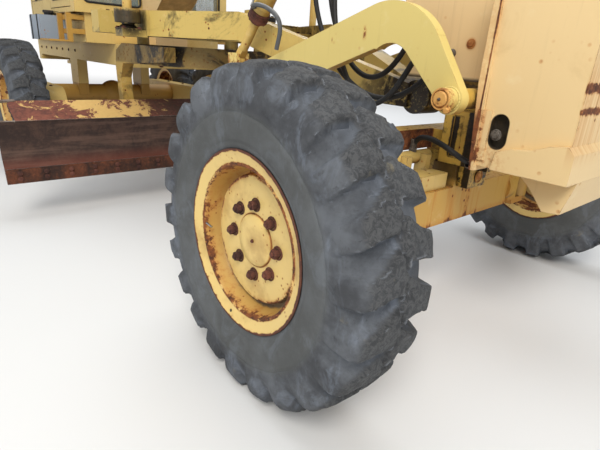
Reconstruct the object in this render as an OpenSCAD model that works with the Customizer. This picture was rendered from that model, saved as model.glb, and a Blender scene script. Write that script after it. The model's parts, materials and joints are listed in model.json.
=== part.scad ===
// Motor grader, a compact six-wheeled machine with a box gooseneck frame.
// X points forward, Y to the machine's left and Z up, in millimetres.
// Stations along X are measured from the front axle and shifted as a whole
// so that the finished machine is centred on the origin.

/* [Wheels] */
// Outer radius of a tyre, at the tips of its lugs
tyre_r = 560; // [520:5:600]
// Width across the sidewalls of a tyre
tyre_w = 300; // [260:5:330]
// Depth of the grooves beside the tread's middle
lug_h = 26; // [15:1:35]
// Lugs on each half of a tyre
lug_count = 22; // [16:1:24]
// Radius of the rim's bead seat
rim_r = 262; // [240:2:280]
// Height of the rim's flange above the bead seat
flange_h = 40; // [25:1:55]
// Radius of the circle that the wheel nuts sit on
nut_circle_r = 122; // [110:1:140]
// Distance from the centre line to the middle of each tyre
half_track = 1080; // [1020:5:1150]
// Distance from the front axle back to the middle of the rear wheel pairs
wheelbase = 4560; // [4400:20:4800]
// Distance between the two rear wheels of one side
tandem_pitch = 1280; // [1200:10:1400]

/* [Front axle] */
// Height of the front axle beam
axle_h = 170; // [120:5:200]
// Thickness of the front axle beam, fore and aft
axle_t = 120; // [90:5:130]
// Distance from the centre line to each kingpin
kingpin_y = 720; // [690:5:760]
// Radius of the kingpins
kingpin_r = 25; // [18:1:30]
// Radius of the wheel spindles
spindle_r = 45; // [35:1:55]
// Length of the steering arms, from kingpin to tie rod
steer_arm = 170; // [150:5:200]

/* [Frame] */
// Width of the gooseneck beam
neck_w = 300; // [240:10:360]
// Height of the gooseneck's top behind the front nose
neck_top = 1860; // [1800:10:1950]
// Depth of the gooseneck beam
neck_d = 320; // [240:10:360]
// Distance between the outer faces of the two rear rails
rail_span = 800; // [700:10:860]
// Width of one rear rail
rail_w = 100; // [70:5:130]
// Height of the rear rails' underside
rail_z = 950; // [900:10:1000]
// Height of one rear rail
rail_h = 180; // [140:10:220]

/* [Nose] */
// Length of the front counterweight
nose_l = 340; // [280:10:400]
// Width of the front counterweight
nose_w = 600; // [500:10:640]
// Height of the counterweight's lower lip
nose_z = 780; // [740:10:840]
// Height of the counterweight's top
nose_top = 1480; // [1400:10:1560]

/* [Blade] */
// Length of the moldboard
blade_l = 3050; // [2600:50:3100]
// Height of the cutting edge at rest
blade_z = 260; // [220:5:300]
// Height of the moldboard above the cutting edge
blade_h = 390; // [350:5:420]
// Thickness of the moldboard's plates
blade_t = 16; // [10:1:25]
// Outer radius of the turning circle
circle_r = 600; // [560:5:620]
// Height of the circle's underside
circle_z = 1010; // [1000:5:1030]
// Height of the circle's band
circle_h = 130; // [100:5:140]

/* [Scarifier] */
// Distance from the centre line to the middle of each arm
arm_y = 400; // [390:1:420]
// Thickness of one arm
arm_t = 50; // [40:2:60]
// Radius of the arms' pins
arm_pin_r = 27; // [22:1:30]
// Number of teeth
tooth_count = 9; // [5:2:11]

/* [Cab] */
// Length of the cab
cab_l = 1000; // [950:10:1040]
// Width of the cab
cab_w = 1440; // [1300:10:1500]
// Height of the cab's floor underside
cab_z = 1360; // [1340:5:1400]
// Height of the cab, floor to roof
cab_h = 1640; // [1500:10:1700]
// Thickness of the cab's walls and doors
cab_t = 40; // [25:1:50]

/* [Engine] */
// Width of the engine hood
hood_w = 900; // [760:10:980]
// Height of the hood's top
hood_top = 2020; // [1900:10:2100]
// Thickness of the hood's panels
hood_t = 30; // [15:1:40]

/* [Hidden] */
$fn = 48;

// running clearance of a pin in its bore, and the face gap between moving pieces
fit = 0.05;
face_gap = 0.3;
swing_gap = 6;

// overall length and the shift that centres the machine
front_x = 620;
rear_end = -6000;
bumper_t = 80;
lamp_t = 18;
rear_x = rear_end - bumper_t - lamp_t;
shift_x = -(front_x + rear_x) / 2;

// wheels: name, station, side
mid_x = -wheelbase + tandem_pitch / 2;
back_x = -wheelbase - tandem_pitch / 2;
hub_z = tyre_r;
bead_half = 112;
rim_wall = 12;
dish_out = 70;
nut_count = 8;

// front axle
axle_z = 440;
axle_half = 470;
collar_l = 70;
hump_top = 710;
yoke_in = 90;
yoke_wall = 40;
yoke_r = 45;
knuckle_h = 112;
yoke_t = 35;
pivot_z = 665;
pivot_r = 30;

// frame stations
leg_front = -2950;
leg_rear = -3200;
neck_nose_x = 212;
head_z = 1074;
saddle_x = -1950;
saddle_y = 770;
saddle_z = 1950;
hitch_x = rear_end - 25;
hitch_z = 860;
hitch_r = 22;

// drawbar
ball = [-230, 0, 980];
ball_r = 50;
lift_drift = 17;
draw_top = 1340;
draw_bot = 1190;
draw_angle = 19.37;
circle_x = -2150;
lift_ball = [saddle_x, saddle_y, 1265];
lift_ball_r = 40;
lift_cup_r = 78;
drive_x = -1660;
shoe_r = 550;
shoe_angles = [22, 111, 249, 338];

// blade
board_x = circle_x - 10;
edge_h = 90;
carrier_x = -2420;
carrier_z = 450;
hanger_y = 600;
hanger_t = 80;
rail_r = 32;
rail_low = [-2345, 400];
rail_high = [-2420, 590];

// scarifier
arm_pin = [172, 1017];
arm_boss_r = 40;
boss_out = 480;
elbow = [-152, 1070];
elbow_r = 286;
arch = [-128, 1086];
arch_r = 115;
block_x = -1150;
scar_eye = [-1160, 1090];
scar_top = [-720, 1620];
scar_y = arm_y + 65;
scar_pin_r = 14;
scar_eye_r = 34;

cab_front = leg_rear - 10;
cab_rear = cab_front - cab_l;
cab_top = cab_z + cab_h;
door_front = cab_front - 110;
door_rear = door_front - 610;
door_z0 = cab_z + cab_t + swing_gap;
door_z1 = cab_top - 200;
hinge_out = 12;
step_z = 1130;

hood_front = cab_rear - 60;
hood_rear = rear_end + 40;
engine_half = rail_span / 2 - rail_w - 10;

yellow = [0.86, 0.66, 0.20];
cream = [0.90, 0.80, 0.52];
ochre = [0.72, 0.54, 0.18];
rust = [0.40, 0.22, 0.13];
dark_steel = [0.25, 0.18, 0.14];
rubber = [0.33, 0.36, 0.39];
black = [0.12, 0.12, 0.12];
steel = [0.7, 0.7, 0.7];
glass = [0.55, 0.65, 0.68];
grey_blue = [0.48, 0.55, 0.62];

// moves a piece from the front axle's stations to the centred machine
module place() {
    translate([shift_x, 0, 0]) children();
}

// cylinder along Y, centred on its station
module cyl_y(r, l, p) {
    translate(p) rotate([90, 0, 0]) cylinder(r = r, h = l, center = true);
}

// cylinder along X, centred on its station
module cyl_x(r, l, p) {
    translate(p) rotate([0, 90, 0]) cylinder(r = r, h = l, center = true);
}

// box from its lowest corner to its highest
module block(a, b) {
    translate(a) cube(b - a);
}

// outline in X and Z, given a thickness along Y about the middle y
module side_plate(points, y, t) {
    translate([0, y + t / 2, 0]) rotate([90, 0, 0]) linear_extrude(t) polygon(points);
}

module both_sides() {
    children();
    mirror([0, 1, 0]) children();
}

// Wheels

// places a wheel so that its own +Z is the outer side; side is 1 at the left
module on_wheel(x, side) {
    place() translate([x, side * half_track, hub_z]) rotate([-90 * side, 0, 0]) children();
}

// One tyre as a closed surface: rings of points at radius, distance from the middle
// and a turn forward, joined sector by sector. Odd sectors carry a lug on the left,
// even ones on the right, and both meet the rib in the middle.
tread_skew = 7;
sectors = 2 * lug_count;
tyre_rings = [
    [(rim_r + 2 * face_gap) / cos(180 / lug_count), bead_half, 0],
    [rim_r + 0.47 * (tyre_r - rim_r), tyre_w / 2, 0],
    [tyre_r - lug_h - 18, tyre_w / 2 - 4, 0],
    [tyre_r - 6, tyre_w / 2 - 24, 1],
    [tyre_r, 20, tread_skew],
    [tyre_r - lug_h, 24, tread_skew]
];
ring_total = 2 * len(tyre_rings);

// point number of ring k on side s (0 or 1) at sector edge i
function tyre_at(k, s, i) = (i % sectors) * ring_total + 2 * k + s;

// two triangles; side 1 is wound the other way round
function quad(s, a, b, c, d) = s == 0 ? [[a, b, c], [a, c, d]] : [[c, b, a], [d, c, a]];

function strip(s, k, m, i) = quad(s, tyre_at(k, s, i), tyre_at(k, s, i + 1), tyre_at(m, s, i + 1),
    tyre_at(m, s, i));

function side_faces(s, i) = concat(
    i % 2 == 1 ? [] : [
        for (f = [
            [tyre_at(0, s, i), tyre_at(0, s, i + 2), tyre_at(1, s, i + 1)],
            [tyre_at(0, s, i), tyre_at(1, s, i + 1), tyre_at(1, s, i)],
            [tyre_at(0, s, i + 2), tyre_at(1, s, i + 2), tyre_at(1, s, i + 1)]
        ]) s == 0 ? f : [f[2], f[1], f[0]]
    ],
    strip(s, 1, 2, i),
    i % 2 == s ? concat(strip(s, 2, 3, i), strip(s, 3, 4, i))
               : concat(strip(s, 2, 5, i), strip(s, 5, 4, i)),
    quad((s + i + s) % 2, tyre_at(2, s, i), tyre_at(3, s, i), tyre_at(4, s, i), tyre_at(5, s, i))
);

module tyre() {
    points = [
        for (i = [0 : sectors - 1]) for (ring = tyre_rings) for (s = [0, 1])
            let (a = i * 360 / sectors + ring[2]) [ring[0] * cos(a), ring[0] * sin(a),
                (1 - 2 * s) * ring[1]]
    ];
    faces = [
        for (i = [0 : sectors - 1]) each concat(
            side_faces(0, i), side_faces(1, i),
            quad(0, tyre_at(4, 0, i), tyre_at(4, 0, i + 1), tyre_at(4, 1, i + 1), tyre_at(4, 1, i)),
            i % 2 == 1 ? [] : quad(1, tyre_at(0, 0, i), tyre_at(0, 0, i + 2), tyre_at(0, 1, i + 2),
                tyre_at(0, 1, i))
        )
    ];
    color(rubber) polyhedron(points, faces);
}

// one-piece rim with its dish, hub and cap; the hub is bored from its inner end
module rim() {
    flange_r = rim_r + flange_h;
    lip = bead_half + 17;
    seat_lip = bead_half + 3 * face_gap;
    well_r = rim_r - rim_wall;
    hub_in = 60;
    bore_end = 50;
    difference() {
        union() {
            color(yellow) rotate_extrude() polygon([
                [well_r, -lip], [flange_r, -lip], [flange_r, -seat_lip - 11.4], [rim_r, -seat_lip],
                [rim_r, seat_lip], [flange_r, seat_lip + 11.4], [flange_r, lip], [well_r, lip],
                [well_r - 22, bead_half - 6], [well_r - 22, dish_out],
                [60, dish_out], [60, dish_out - 14], [well_r - 36, dish_out - 14], [well_r, dish_out - 30]
            ]);
            color(yellow) translate([0, 0, -hub_in]) cylinder(r = 96, h = hub_in + dish_out - 7);
            color(yellow) translate([0, 0, dish_out - 7]) cylinder(r = 90, h = 17);
            color(ochre) translate([0, 0, dish_out + 9]) cylinder(r = 62, h = 5);
            for (i = [0 : nut_count - 1])
                color(rust) rotate([0, 0, i * 360 / nut_count]) translate([nut_circle_r, 0, dish_out - 1])
                    cylinder(r = 17, h = 22, $fn = 6);
        }
        translate([0, 0, -hub_in - 1]) cylinder(r = spindle_r + fit, h = bore_end + hub_in + 1);
    }
}

// Front axle and steering

module front_axle() {
    yoke_y = kingpin_y - yoke_in;
    axle_top = axle_z + axle_h;
    color(yellow) place() difference() {
        union() {
            block([-axle_t / 2, -axle_half, axle_z], [axle_t / 2, axle_half, axle_top]);
            block([-axle_t / 2, -90, axle_top - 1], [axle_t / 2, 90, hump_top]);
            both_sides() {
                cyl_y(axle_h / 2 - 6, collar_l + 2, [0, axle_half + collar_l / 2, axle_z + axle_h / 2]);
                block([-yoke_r, axle_half + collar_l, axle_z], [yoke_r, yoke_y - 1, axle_top]);
                block([-yoke_r, yoke_y - yoke_wall, hub_z - knuckle_h - yoke_t],
                      [yoke_r, yoke_y, hub_z + knuckle_h + yoke_t]);
                for (z = [hub_z - knuckle_h - yoke_t, hub_z + knuckle_h]) {
                    block([-yoke_r, yoke_y - 1, z], [yoke_r, kingpin_y, z + yoke_t]);
                    translate([0, kingpin_y, z]) cylinder(r = yoke_r, h = yoke_t);
                }
            }
        }
        both_sides() translate([0, kingpin_y, 0]) cylinder(r = kingpin_r + fit, h = 900);
        cyl_x(pivot_r + face_gap, 400, [0, 0, pivot_z]);
    }
}

// steering knuckle of the left side, with kingpin, spindle and steering arm
module knuckle_shape() {
    color(ochre) {
        difference() {
            translate([0, kingpin_y, hub_z - knuckle_h + face_gap])
                cylinder(r = 58, h = 2 * (knuckle_h - face_gap));
            block([-80, kingpin_y - 80, 0], [80, kingpin_y - 58, 900]);
        }
        translate([0, kingpin_y, hub_z - knuckle_h - yoke_t - 8])
            cylinder(r = kingpin_r, h = 2 * (knuckle_h + yoke_t + 8));
        cyl_y(80, 60, [0, kingpin_y + 80, hub_z]);
        translate([0, kingpin_y + 40, hub_z]) rotate([-90, 0, 0])
            cylinder(r = spindle_r, h = half_track + 45 - kingpin_y - 40);
        hull() {
            translate([0, kingpin_y, hub_z - knuckle_h + 1]) cylinder(r = 34, h = 30, $fn = 32);
            translate([-steer_arm, rod_end_y, hub_z - knuckle_h + 1]) cylinder(r = 28, h = 30, $fn = 32);
        }
    }
}

module knuckle_left() {
    place() knuckle_shape();
}

module knuckle_right() {
    place() mirror([0, 1, 0]) knuckle_shape();
}

rod_eye_z = hub_z - knuckle_h + 31 + face_gap;
rod_end_y = kingpin_y - 10;

// the steering cylinder lies behind the axle beam; its rod moves the tie rod through a link
steer_cyl_x = -100;
steer_cyl_z = 730;
steer_cyl_r = 30;
steer_rod_r = 14;
barrel_y = [-460, -100];
link_y = -600;

module tie_rod() {
    place() {
        color(ochre) {
            cyl_y(16, 2 * rod_end_y, [-steer_arm, 0, rod_eye_z + 22]);
            both_sides() translate([-steer_arm, rod_end_y, rod_eye_z]) cylinder(r = 26, h = 44);
            block([-steer_arm - 12, link_y - 15, rod_eye_z + 20],
                [-steer_arm + 12, link_y + 15, steer_cyl_z + 20]);
            block([-steer_arm - 12, link_y - 15, steer_cyl_z - 20],
                  [steer_cyl_x + 18, link_y + 15, steer_cyl_z + 20]);
        }
        color(steel) cyl_y(steer_rod_r, 310, [steer_cyl_x, link_y + 145, steer_cyl_z]);
    }
}

module steering_cylinder() {
    axle_top = axle_z + axle_h;
    color(yellow) place() {
        difference() {
            union() {
                cyl_y(steer_cyl_r, barrel_y[1] - barrel_y[0],
                    [steer_cyl_x, (barrel_y[0] + barrel_y[1]) / 2, steer_cyl_z]);
                cyl_y(steer_cyl_r + 6, 30, [steer_cyl_x, barrel_y[0] + 15, steer_cyl_z]);
                for (y = [-310, -170])
                    block([steer_cyl_x, y - 18, axle_top + 40],
                        [-axle_t / 2 + 20, y + 18, steer_cyl_z + 18]);
            }
            translate([steer_cyl_x, barrel_y[0] - 1, steer_cyl_z]) rotate([-90, 0, 0])
                cylinder(r = steer_rod_r + fit, h = barrel_y[1] - barrel_y[0] - 20);
        }
        block([-axle_t / 2, -330, axle_top], [axle_t / 2 - 15, -130, axle_top + 70]);
    }
}

// Bolster, nose and frame

module front_bolster() {
    box_z = hump_top + 6;
    pipe_end = arm_y - arm_t / 2 - face_gap;
    place() {
        color(yellow) {
            difference() {
                block([-30, -110, box_z], [neck_nose_x, 110, 950]);
                both_sides() block([18, 102, 745], [64, 111, 930]);
            }
            block([-120, -75, box_z], [120, 75, box_z + 44]);
            block([-10, -60, 949], [neck_nose_x, 60, head_z]);
            block([-120, -60, box_z + 4], [-29, 60, 850]);
            for (x = [-120, axle_t / 2 + 5]) block([x, -75, pivot_z - 50], [x + 55, 75, box_z + 1]);
            cyl_x(pivot_r, 250, [0, 0, pivot_z]);
            both_sides() cyl_y(38, pipe_end - 58, [arm_pin[0], (pipe_end + 58) / 2, arm_pin[1]]);
            cyl_y(arm_pin_r, 2 * boss_out + 8, [arm_pin[0], 0, arm_pin[1]]);
        }
        color(rust) block([-219, -330, 760], [-119, 330, 850]);
        color(yellow) translate(ball) rotate([0, 90, 0]) cylinder(r = 26, h = -ball[0] - 5);
        color(steel) translate(ball) sphere(r = ball_r);
    }
}

lip_x = 597;

module front_nose() {
    x0 = neck_nose_x + 23;
    x1 = x0 + nose_l;
    hw = nose_w / 2;
    back = neck_nose_x + face_gap;
    place() difference() {
        union() {
            color(cream) {
                side_plate([[back, nose_top - 20], [back, 1080], [back + 25, 757], [back + 46, 757],
                    [x0 + 1, nose_top - 20]],
                           0, 2 * hw + 30);
                block([back, -110, 757], [x0 + 5, 110, 1090]);
                block([x0, -hw, nose_z - 3], [x1, hw, nose_top - 80]);
                side_plate([[x0, nose_top - 81], [x1, nose_top - 81], [x1 - 40, nose_top], [x0, nose_top]],
                           0, nose_w);
                side_plate([[x0 + 89, nose_z - 3], [x0 + 99, 845], [x0 + 151, 863], [x0 + 220, 872],
                    [x0 + 281, 897],
                            [x1, 905], [lip_x, 880], [lip_x, nose_z - 3]], 0, 2 * hw + 50);
                both_sides() block([x0 + 1, hw - 1, 800], [x0 + 47, hw + 6, 985]);
            }
            color(ochre) side_plate([[x0 + 160, nose_z], [x0 + 165, 758], [x0 + 215, 713],
                [x0 + 269, 648], [x1 - 10, 652],
                                     [lip_x, nose_z]], 0, 450);
        }
        both_sides() hull() {
            for (z = [884, 943]) translate([319, hw + 1, z]) rotate([90, 0, 0])
                cylinder(r = 33, h = 31, $fn = 32);
        }
    }
}

neck_bottom_rear = neck_top + 60 - neck_d;

module neck_plate() {
    side_plate([
        [neck_nose_x, head_z], [neck_nose_x, 1470], [-160, neck_top - 120], [-520, neck_top],
        [-2500, neck_top + 60], [leg_front - 60, neck_top + 20], [leg_rear, neck_top - 240],
        [leg_rear, rail_z + rail_h], [leg_front, rail_z + rail_h], [leg_front, 1380],
            [-2650, neck_bottom_rear],
        [-620, neck_top - neck_d], [-300, 1420], [-230, 1250], [-230, head_z]
    ], 0, neck_w);
}

// arched beam with the bracket of the scarifier's cylinder
module gooseneck() {
    bracket_z = scar_top[1] + 40;
    place() color(yellow) {
        neck_plate();
        block([scar_top[0] - 60, -scar_y - 80, bracket_z],
            [scar_top[0] + 60, -neck_w / 2 + 1, bracket_z + 70]);
        for (y = [-scar_y - 74, -scar_y + 54])
            block([scar_top[0] - 45, y, scar_top[1] - 40], [scar_top[0] + 45, y + 20, bracket_z + 1]);
        cyl_y(16, 128, [scar_top[0], -scar_y, scar_top[1]]);
    }
}

// cross box over the neck that carries the two lift cylinders in forks
module lift_saddle() {
    half = saddle_y + 110;
    fork = 64;
    place() color(yellow) difference() {
        union() {
            block([saddle_x - 130, -half, saddle_z - 60], [saddle_x + 90, half, saddle_z + 60]);
            both_sides() block([saddle_x - 70, neck_w / 2, neck_top - 130],
                [saddle_x + 70, neck_w / 2 + 90, saddle_z]);
        }
        both_sides() block([saddle_x - 80, saddle_y - fork, saddle_z - 150],
            [saddle_x + 95, saddle_y + fork, saddle_z + 150]);
        both_sides() cyl_y(22 + fit, 4 * fork, [saddle_x, saddle_y, saddle_z]);
        neck_plate();
    }
}

// two rails with cross-members, sills under the cab and the bumper with its tow bore
module rear_frame() {
    outer = rail_span / 2;
    rail_top = rail_z + rail_h;
    bumper_x = rear_end - bumper_t;
    place() color(yellow) {
        block([leg_rear, -outer, rail_z], [leg_front, outer, rail_top]);
        both_sides() block([rear_end, outer - rail_w, rail_z], [leg_rear + 1, outer, rail_top]);
        block([bumper_x, -outer, rail_z - 60], [hood_rear - face_gap, outer, rail_top + 40]);
        difference() {
            block([bumper_x + 10, -70, hitch_z - 20], [rear_end + 60, 70, hitch_z + 20]);
            translate([hitch_x, 0, hitch_z - 30]) cylinder(r = hitch_r, h = 60);
        }
        block([rear_end + 10, -70, hitch_z], [rear_end + 60, 70, rail_z - 59]);
        block([-wheelbase - 140, -outer + 1, rail_z + 20], [-wheelbase + 140, outer - 1, rail_top - 20]);
        both_sides() {
            block([-wheelbase - 130, outer - rail_w, axle_seat_z], [-wheelbase + 130, outer, rail_z + 1]);
            block([cab_rear + 30, outer - 260, rail_top - 1], [cab_front - 30, cab_w / 2 - 80, cab_z]);
        }
    }
}

axle_seat_z = 700;

// Rear axle and tandem cases

module rear_axle() {
    color(ochre) place() {
        cyl_y(105, 1420, [-wheelbase, 0, hub_z + 20]);
        translate([-wheelbase, 0, hub_z + 20]) sphere(r = 150);
        both_sides() block([-wheelbase - 120, 300, hub_z + 20],
            [-wheelbase + 120, 400, axle_seat_z - face_gap]);
    }
}

module tandem_cases() {
    color(yellow) place() both_sides() {
        block([back_x, 710.3, hub_z - 150], [mid_x, 880, hub_z + 150]);
        for (x = [mid_x, back_x]) cyl_y(150, 169.7, [x, 795.15, hub_z]);
        for (x = [mid_x, back_x])
            translate([x, 879, hub_z]) rotate([-90, 0, 0])
                cylinder(r = spindle_r, h = half_track + 45 - 879);
    }
}

// Drawbar, circle and blade

module drawbar() {
    reach = 1780;
    difference() {
        place() color(yellow) {
            both_sides() translate([ball[0], 0, 0]) rotate([0, 0, -draw_angle])
                side_plate([
                    [-60, 930], [-60, 1040], [-1080, draw_top], [-reach, draw_top],
                    [-reach, draw_bot], [-1080, draw_bot], [-300, 945]
                ], 20, 110);
            cyl_y(78, 150, [ball[0], 0, ball[2]]);
            block([ball[0] - 230, -90, 930], [ball[0] - 40, 90, 1040]);
            block([saddle_x - 70, -saddle_y + 90, draw_bot], [saddle_x + 70, saddle_y - 90, draw_top]);
            block([-2420, -saddle_y - 70, draw_bot + 10], [-2280, saddle_y + 70, draw_top]);
            both_sides() block([-2300, 560, draw_bot], [saddle_x, 680, draw_top]);
            both_sides() block([saddle_x - 60, saddle_y - 100, 1180],
                [saddle_x + 60, saddle_y + 60, 1222]);
            both_sides() translate([saddle_x, saddle_y, 1220]) cylinder(r = 24, h = 30);
            block([-1720, -480, draw_bot], [-1560, 480, draw_bot + 90]);
            translate([drive_x, 0, draw_bot + 40]) cylinder(r = 130, h = 130);
            translate([drive_x, 0, draw_bot + 160]) cylinder(r = 80, h = 45);
            for (a = shoe_angles)
                translate([circle_x + shoe_r * cos(a), shoe_r * sin(a), circle_z + circle_h + face_gap])
                    cylinder(r = 42, h = draw_bot - circle_z - circle_h - face_gap + 20);
        }
        place() translate(ball) sphere(r = ball_r + face_gap);
        place() translate(ball) rotate([0, 90, 0]) cylinder(r1 = 28, r2 = 84, h = 200);
    }
    place() color(steel) both_sides() translate(lift_ball) sphere(r = lift_ball_r);
}

module circle_turn() {
    inner = circle_r - 100;
    place() color(yellow) {
        difference() {
            translate([circle_x, 0, circle_z]) cylinder(r = circle_r, h = circle_h, $fn = 96);
            translate([circle_x, 0, circle_z - 1]) cylinder(r = inner, h = circle_h + 2, $fn = 96);
        }
        both_sides() difference() {
            side_plate([
                [-1740, 1040], [-1740, 1130], [-2440, circle_z + circle_h], [-2560, 1090], [-2590, 980],
                [-2560, 700], [carrier_x - 60, carrier_z - 50], [carrier_x + 60, carrier_z - 50],
                [carrier_x + 60, 530], [-2480, 720], [-2495, 900], [-2440, 1000], [-1900, 1030]
            ], hanger_y, hanger_t);
            cyl_y(30 + fit, 2000, [carrier_x, 0, carrier_z]);
        }
    }
}

carrier_out = hanger_y - hanger_t / 2 - face_gap;

module blade_carrier() {
    color(ochre) place() {
        cyl_y(rail_r, 2 * carrier_out - 10, [rail_low[0], 0, rail_low[1]]);
        cyl_y(rail_r, 2 * carrier_out - 10, [rail_high[0], 0, rail_high[1]]);
        both_sides() {
            side_plate([
                [rail_low[0] + 50, rail_low[1] - 50], [rail_low[0] + 50, rail_low[1] + 60],
                [rail_high[0] + 55, rail_high[1] + 50], [rail_high[0] - 55, rail_high[1] + 50],
                [carrier_x - 60, carrier_z - 40]
            ], carrier_out - 30, 60);
            cyl_y(30, hanger_t + 40, [carrier_x, hanger_y - 10, carrier_z]);
        }
    }
}

// the moldboard: dished front plate, sloped back cover and slide brackets
module moldboard() {
    half = blade_l / 2;
    back = 300;
    top = blade_z + blade_h;
    low = blade_z + edge_h;
    mid = (low + top) / 2;
    arc_x = board_x - 12 + sqrt(back * back - pow((top - low) / 2, 2));
    place() {
        color(dark_steel) {
            intersection() {
                difference() {
                    cyl_y(back + blade_t, 2 * half, [arc_x, 0, mid]);
                    cyl_y(back, 2 * half + 2, [arc_x, 0, mid]);
                }
                block([board_x - 200, -half - 1, low], [board_x, half + 1, top]);
            }
        }
        color(rust) difference() {
            side_plate([
                [board_x - 20, top - blade_t], [board_x - 5, top], [board_x - 240, top + 96],
                [board_x - 250, top + 82]
            ], 0, 2 * half - 190);
            both_sides() translate([board_x - 250, half - 95, top]) rotate([0, 0, 45])
                cube([60, 60, 300], center = true);
        }
        color(ochre) both_sides() difference() {
            side_plate([
                [board_x - 56, mid - 60], [board_x - 56, mid + 60], [board_x - 70, top + 10],
                [board_x - 235, top + 78], [rail_high[0] - 55, rail_high[1] + 30],
                    [rail_high[0] - 55, rail_high[1] - 55],
                [rail_high[0] + 70, rail_high[1] - 75], [rail_low[0] - 55, rail_low[1] + 50],
                [rail_low[0] - 55, rail_low[1] - 55], [rail_low[0] + 60, rail_low[1] - 55]
            ], 270, 110);
            cyl_y(rail_r + fit, 2000, [rail_low[0], 0, rail_low[1]]);
            cyl_y(rail_r + fit, 2000, [rail_high[0], 0, rail_high[1]]);
        }
    }
}

module cutting_edge() {
    half = blade_l / 2;
    color(rust) place() side_plate([
        [board_x + 14, blade_z], [board_x - 6, blade_z], [board_x - 34, blade_z + edge_h - face_gap],
        [board_x - 8, blade_z + edge_h - face_gap]
    ], 0, 2 * half);
}

module lift_cylinders() {
    color(yellow) place() both_sides() {
        difference() {
            translate([saddle_x, saddle_y, 1620]) cylinder(r = 58, h = 560);
            translate([saddle_x, saddle_y, 1500]) cylinder(r = 28 + fit, h = 640);
        }
        difference() {
            cyl_y(22, 150, [saddle_x, saddle_y, saddle_z]);
            translate([saddle_x, saddle_y, 1700]) cylinder(r = 57, h = 500);
        }
    }
}

module lift_rods() {
    cup_in = lift_ball_r + lift_drift + 1;
    cup_top = lift_ball[2] + cup_in + 17;
    place() both_sides() {
        color(steel) translate([saddle_x, saddle_y, cup_top - 1])
            cylinder(r = 28, h = saddle_z - 20 - cup_top);
        color(yellow) difference() {
            translate([saddle_x, saddle_y, lift_ball[2] - 5])
                cylinder(r = lift_cup_r, h = cup_top - lift_ball[2] + 5);
            translate(lift_ball) sphere(r = cup_in);
            translate([saddle_x, saddle_y, lift_ball[2] - 6]) cylinder(r = cup_in, h = 6);
        }
    }
}

// Scarifier

// outline of an arm: front leg from the pin, round elbow, arch and sloping tail
module arm_outline() {
    lean = [0.82, 0.57];
    crown = [-0.314, 0.949];
    front = elbow + elbow_r * lean;
    top = elbow + elbow_r * crown;
    foot = block_x + 100;
    difference() {
        union() {
            polygon([
                front, arm_pin + 49 * lean, arm_pin - 58 * lean, [88, 1034], [-46, 1166], [-213, 1177],
                [foot, 881], [foot, 800], [foot - 200, 800], [foot - 200, 880], [foot, 1048], [foot + 40, 1084], top
            ]);
            intersection() {
                translate(elbow) circle(r = elbow_r);
                polygon([top, [top[0], 1400], [front[0] + 60, 1400], front]);
            }
            translate(arm_pin - 5 * lean) circle(r = 54);
        }
        translate(arch) circle(r = arch_r);
    }
}

module scarifier_arms() {
    color(yellow) place() {
        both_sides() difference() {
            union() {
                translate([0, arm_y + arm_t / 2, 0]) rotate([90, 0,
                    0]) linear_extrude(arm_t) arm_outline();
                cyl_y(arm_boss_r, boss_out - arm_y, [arm_pin[0], (boss_out + arm_y) / 2, arm_pin[1]]);
            }
            cyl_y(arm_pin_r + fit, 2000, [arm_pin[0], 0, arm_pin[1]]);
        }
        difference() {
            block([block_x - 100, -570, 800], [block_x + 100, 570, 920]);
            for (i = [0 : tooth_count - 1])
                block([block_x - 32, tooth_y(i) - 18, 700], [block_x + 32, tooth_y(i) + 18, 1000]);
        }
        for (y = [-scar_y - 40, -scar_y + 20 + face_gap])
            block([scar_eye[0] - 45, y, 900], [scar_eye[0] + 45, y + 20 - face_gap, scar_eye[1] + 36]);
        cyl_y(scar_pin_r, 84, [scar_eye[0], -scar_y, scar_eye[1]]);
    }
}

tooth_span = 2 * (arm_y - arm_t / 2 - 27);

function tooth_y(i) = (i / (tooth_count - 1) - 0.5) * tooth_span;

module scarifier_teeth() {
    color(rust) place() for (i = [0 : tooth_count - 1])
        side_plate([
            [block_x - 31, 960], [block_x + 31, 960], [block_x + 31, 480], [block_x + 100, 270],
            [block_x + 92, 250], [block_x + 20, 310], [block_x - 31, 480]
        ], tooth_y(i), 35.4);
}

scar_dir = scar_eye - scar_top;
scar_len = norm(scar_dir);
scar_tilt = atan2(-scar_dir[0], -scar_dir[1]);

// places a cylinder's piece with its own -Z pointing from the top pin to the lower eye
module on_scar_cylinder() {
    place() translate([scar_top[0], -scar_y, scar_top[1]]) rotate([0, scar_tilt, 0]) children();
}

module scarifier_cylinder() {
    color(yellow) on_scar_cylinder() {
        difference() {
            translate([0, 0, -scar_len + 190]) cylinder(r = 48, h = scar_len - 240);
            translate([0, 0, -scar_len]) cylinder(r = 24 + fit, h = scar_len - 80);
        }
        difference() {
            union() {
                translate([0, 0, -52]) cylinder(r = 34, h = 42);
                cyl_y(32, 68, [0, 0, 0]);
            }
            cyl_y(16 + fit, 200, [0, 0, 0]);
        }
    }
}

module scarifier_rod() {
    on_scar_cylinder() {
        color(yellow) translate([0, 0, -scar_len + 76]) cylinder(r = 24, h = scar_len - 296);
        color(rust) difference() {
            union() {
                block([-20, -20, -scar_len], [20, 20, -scar_len + 77]);
                cyl_y(scar_eye_r, 40, [0, 0, -scar_len]);
            }
            cyl_y(scar_pin_r + 6, 60, [0, 0, -scar_len]);
        }
    }
}

// Cab

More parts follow.
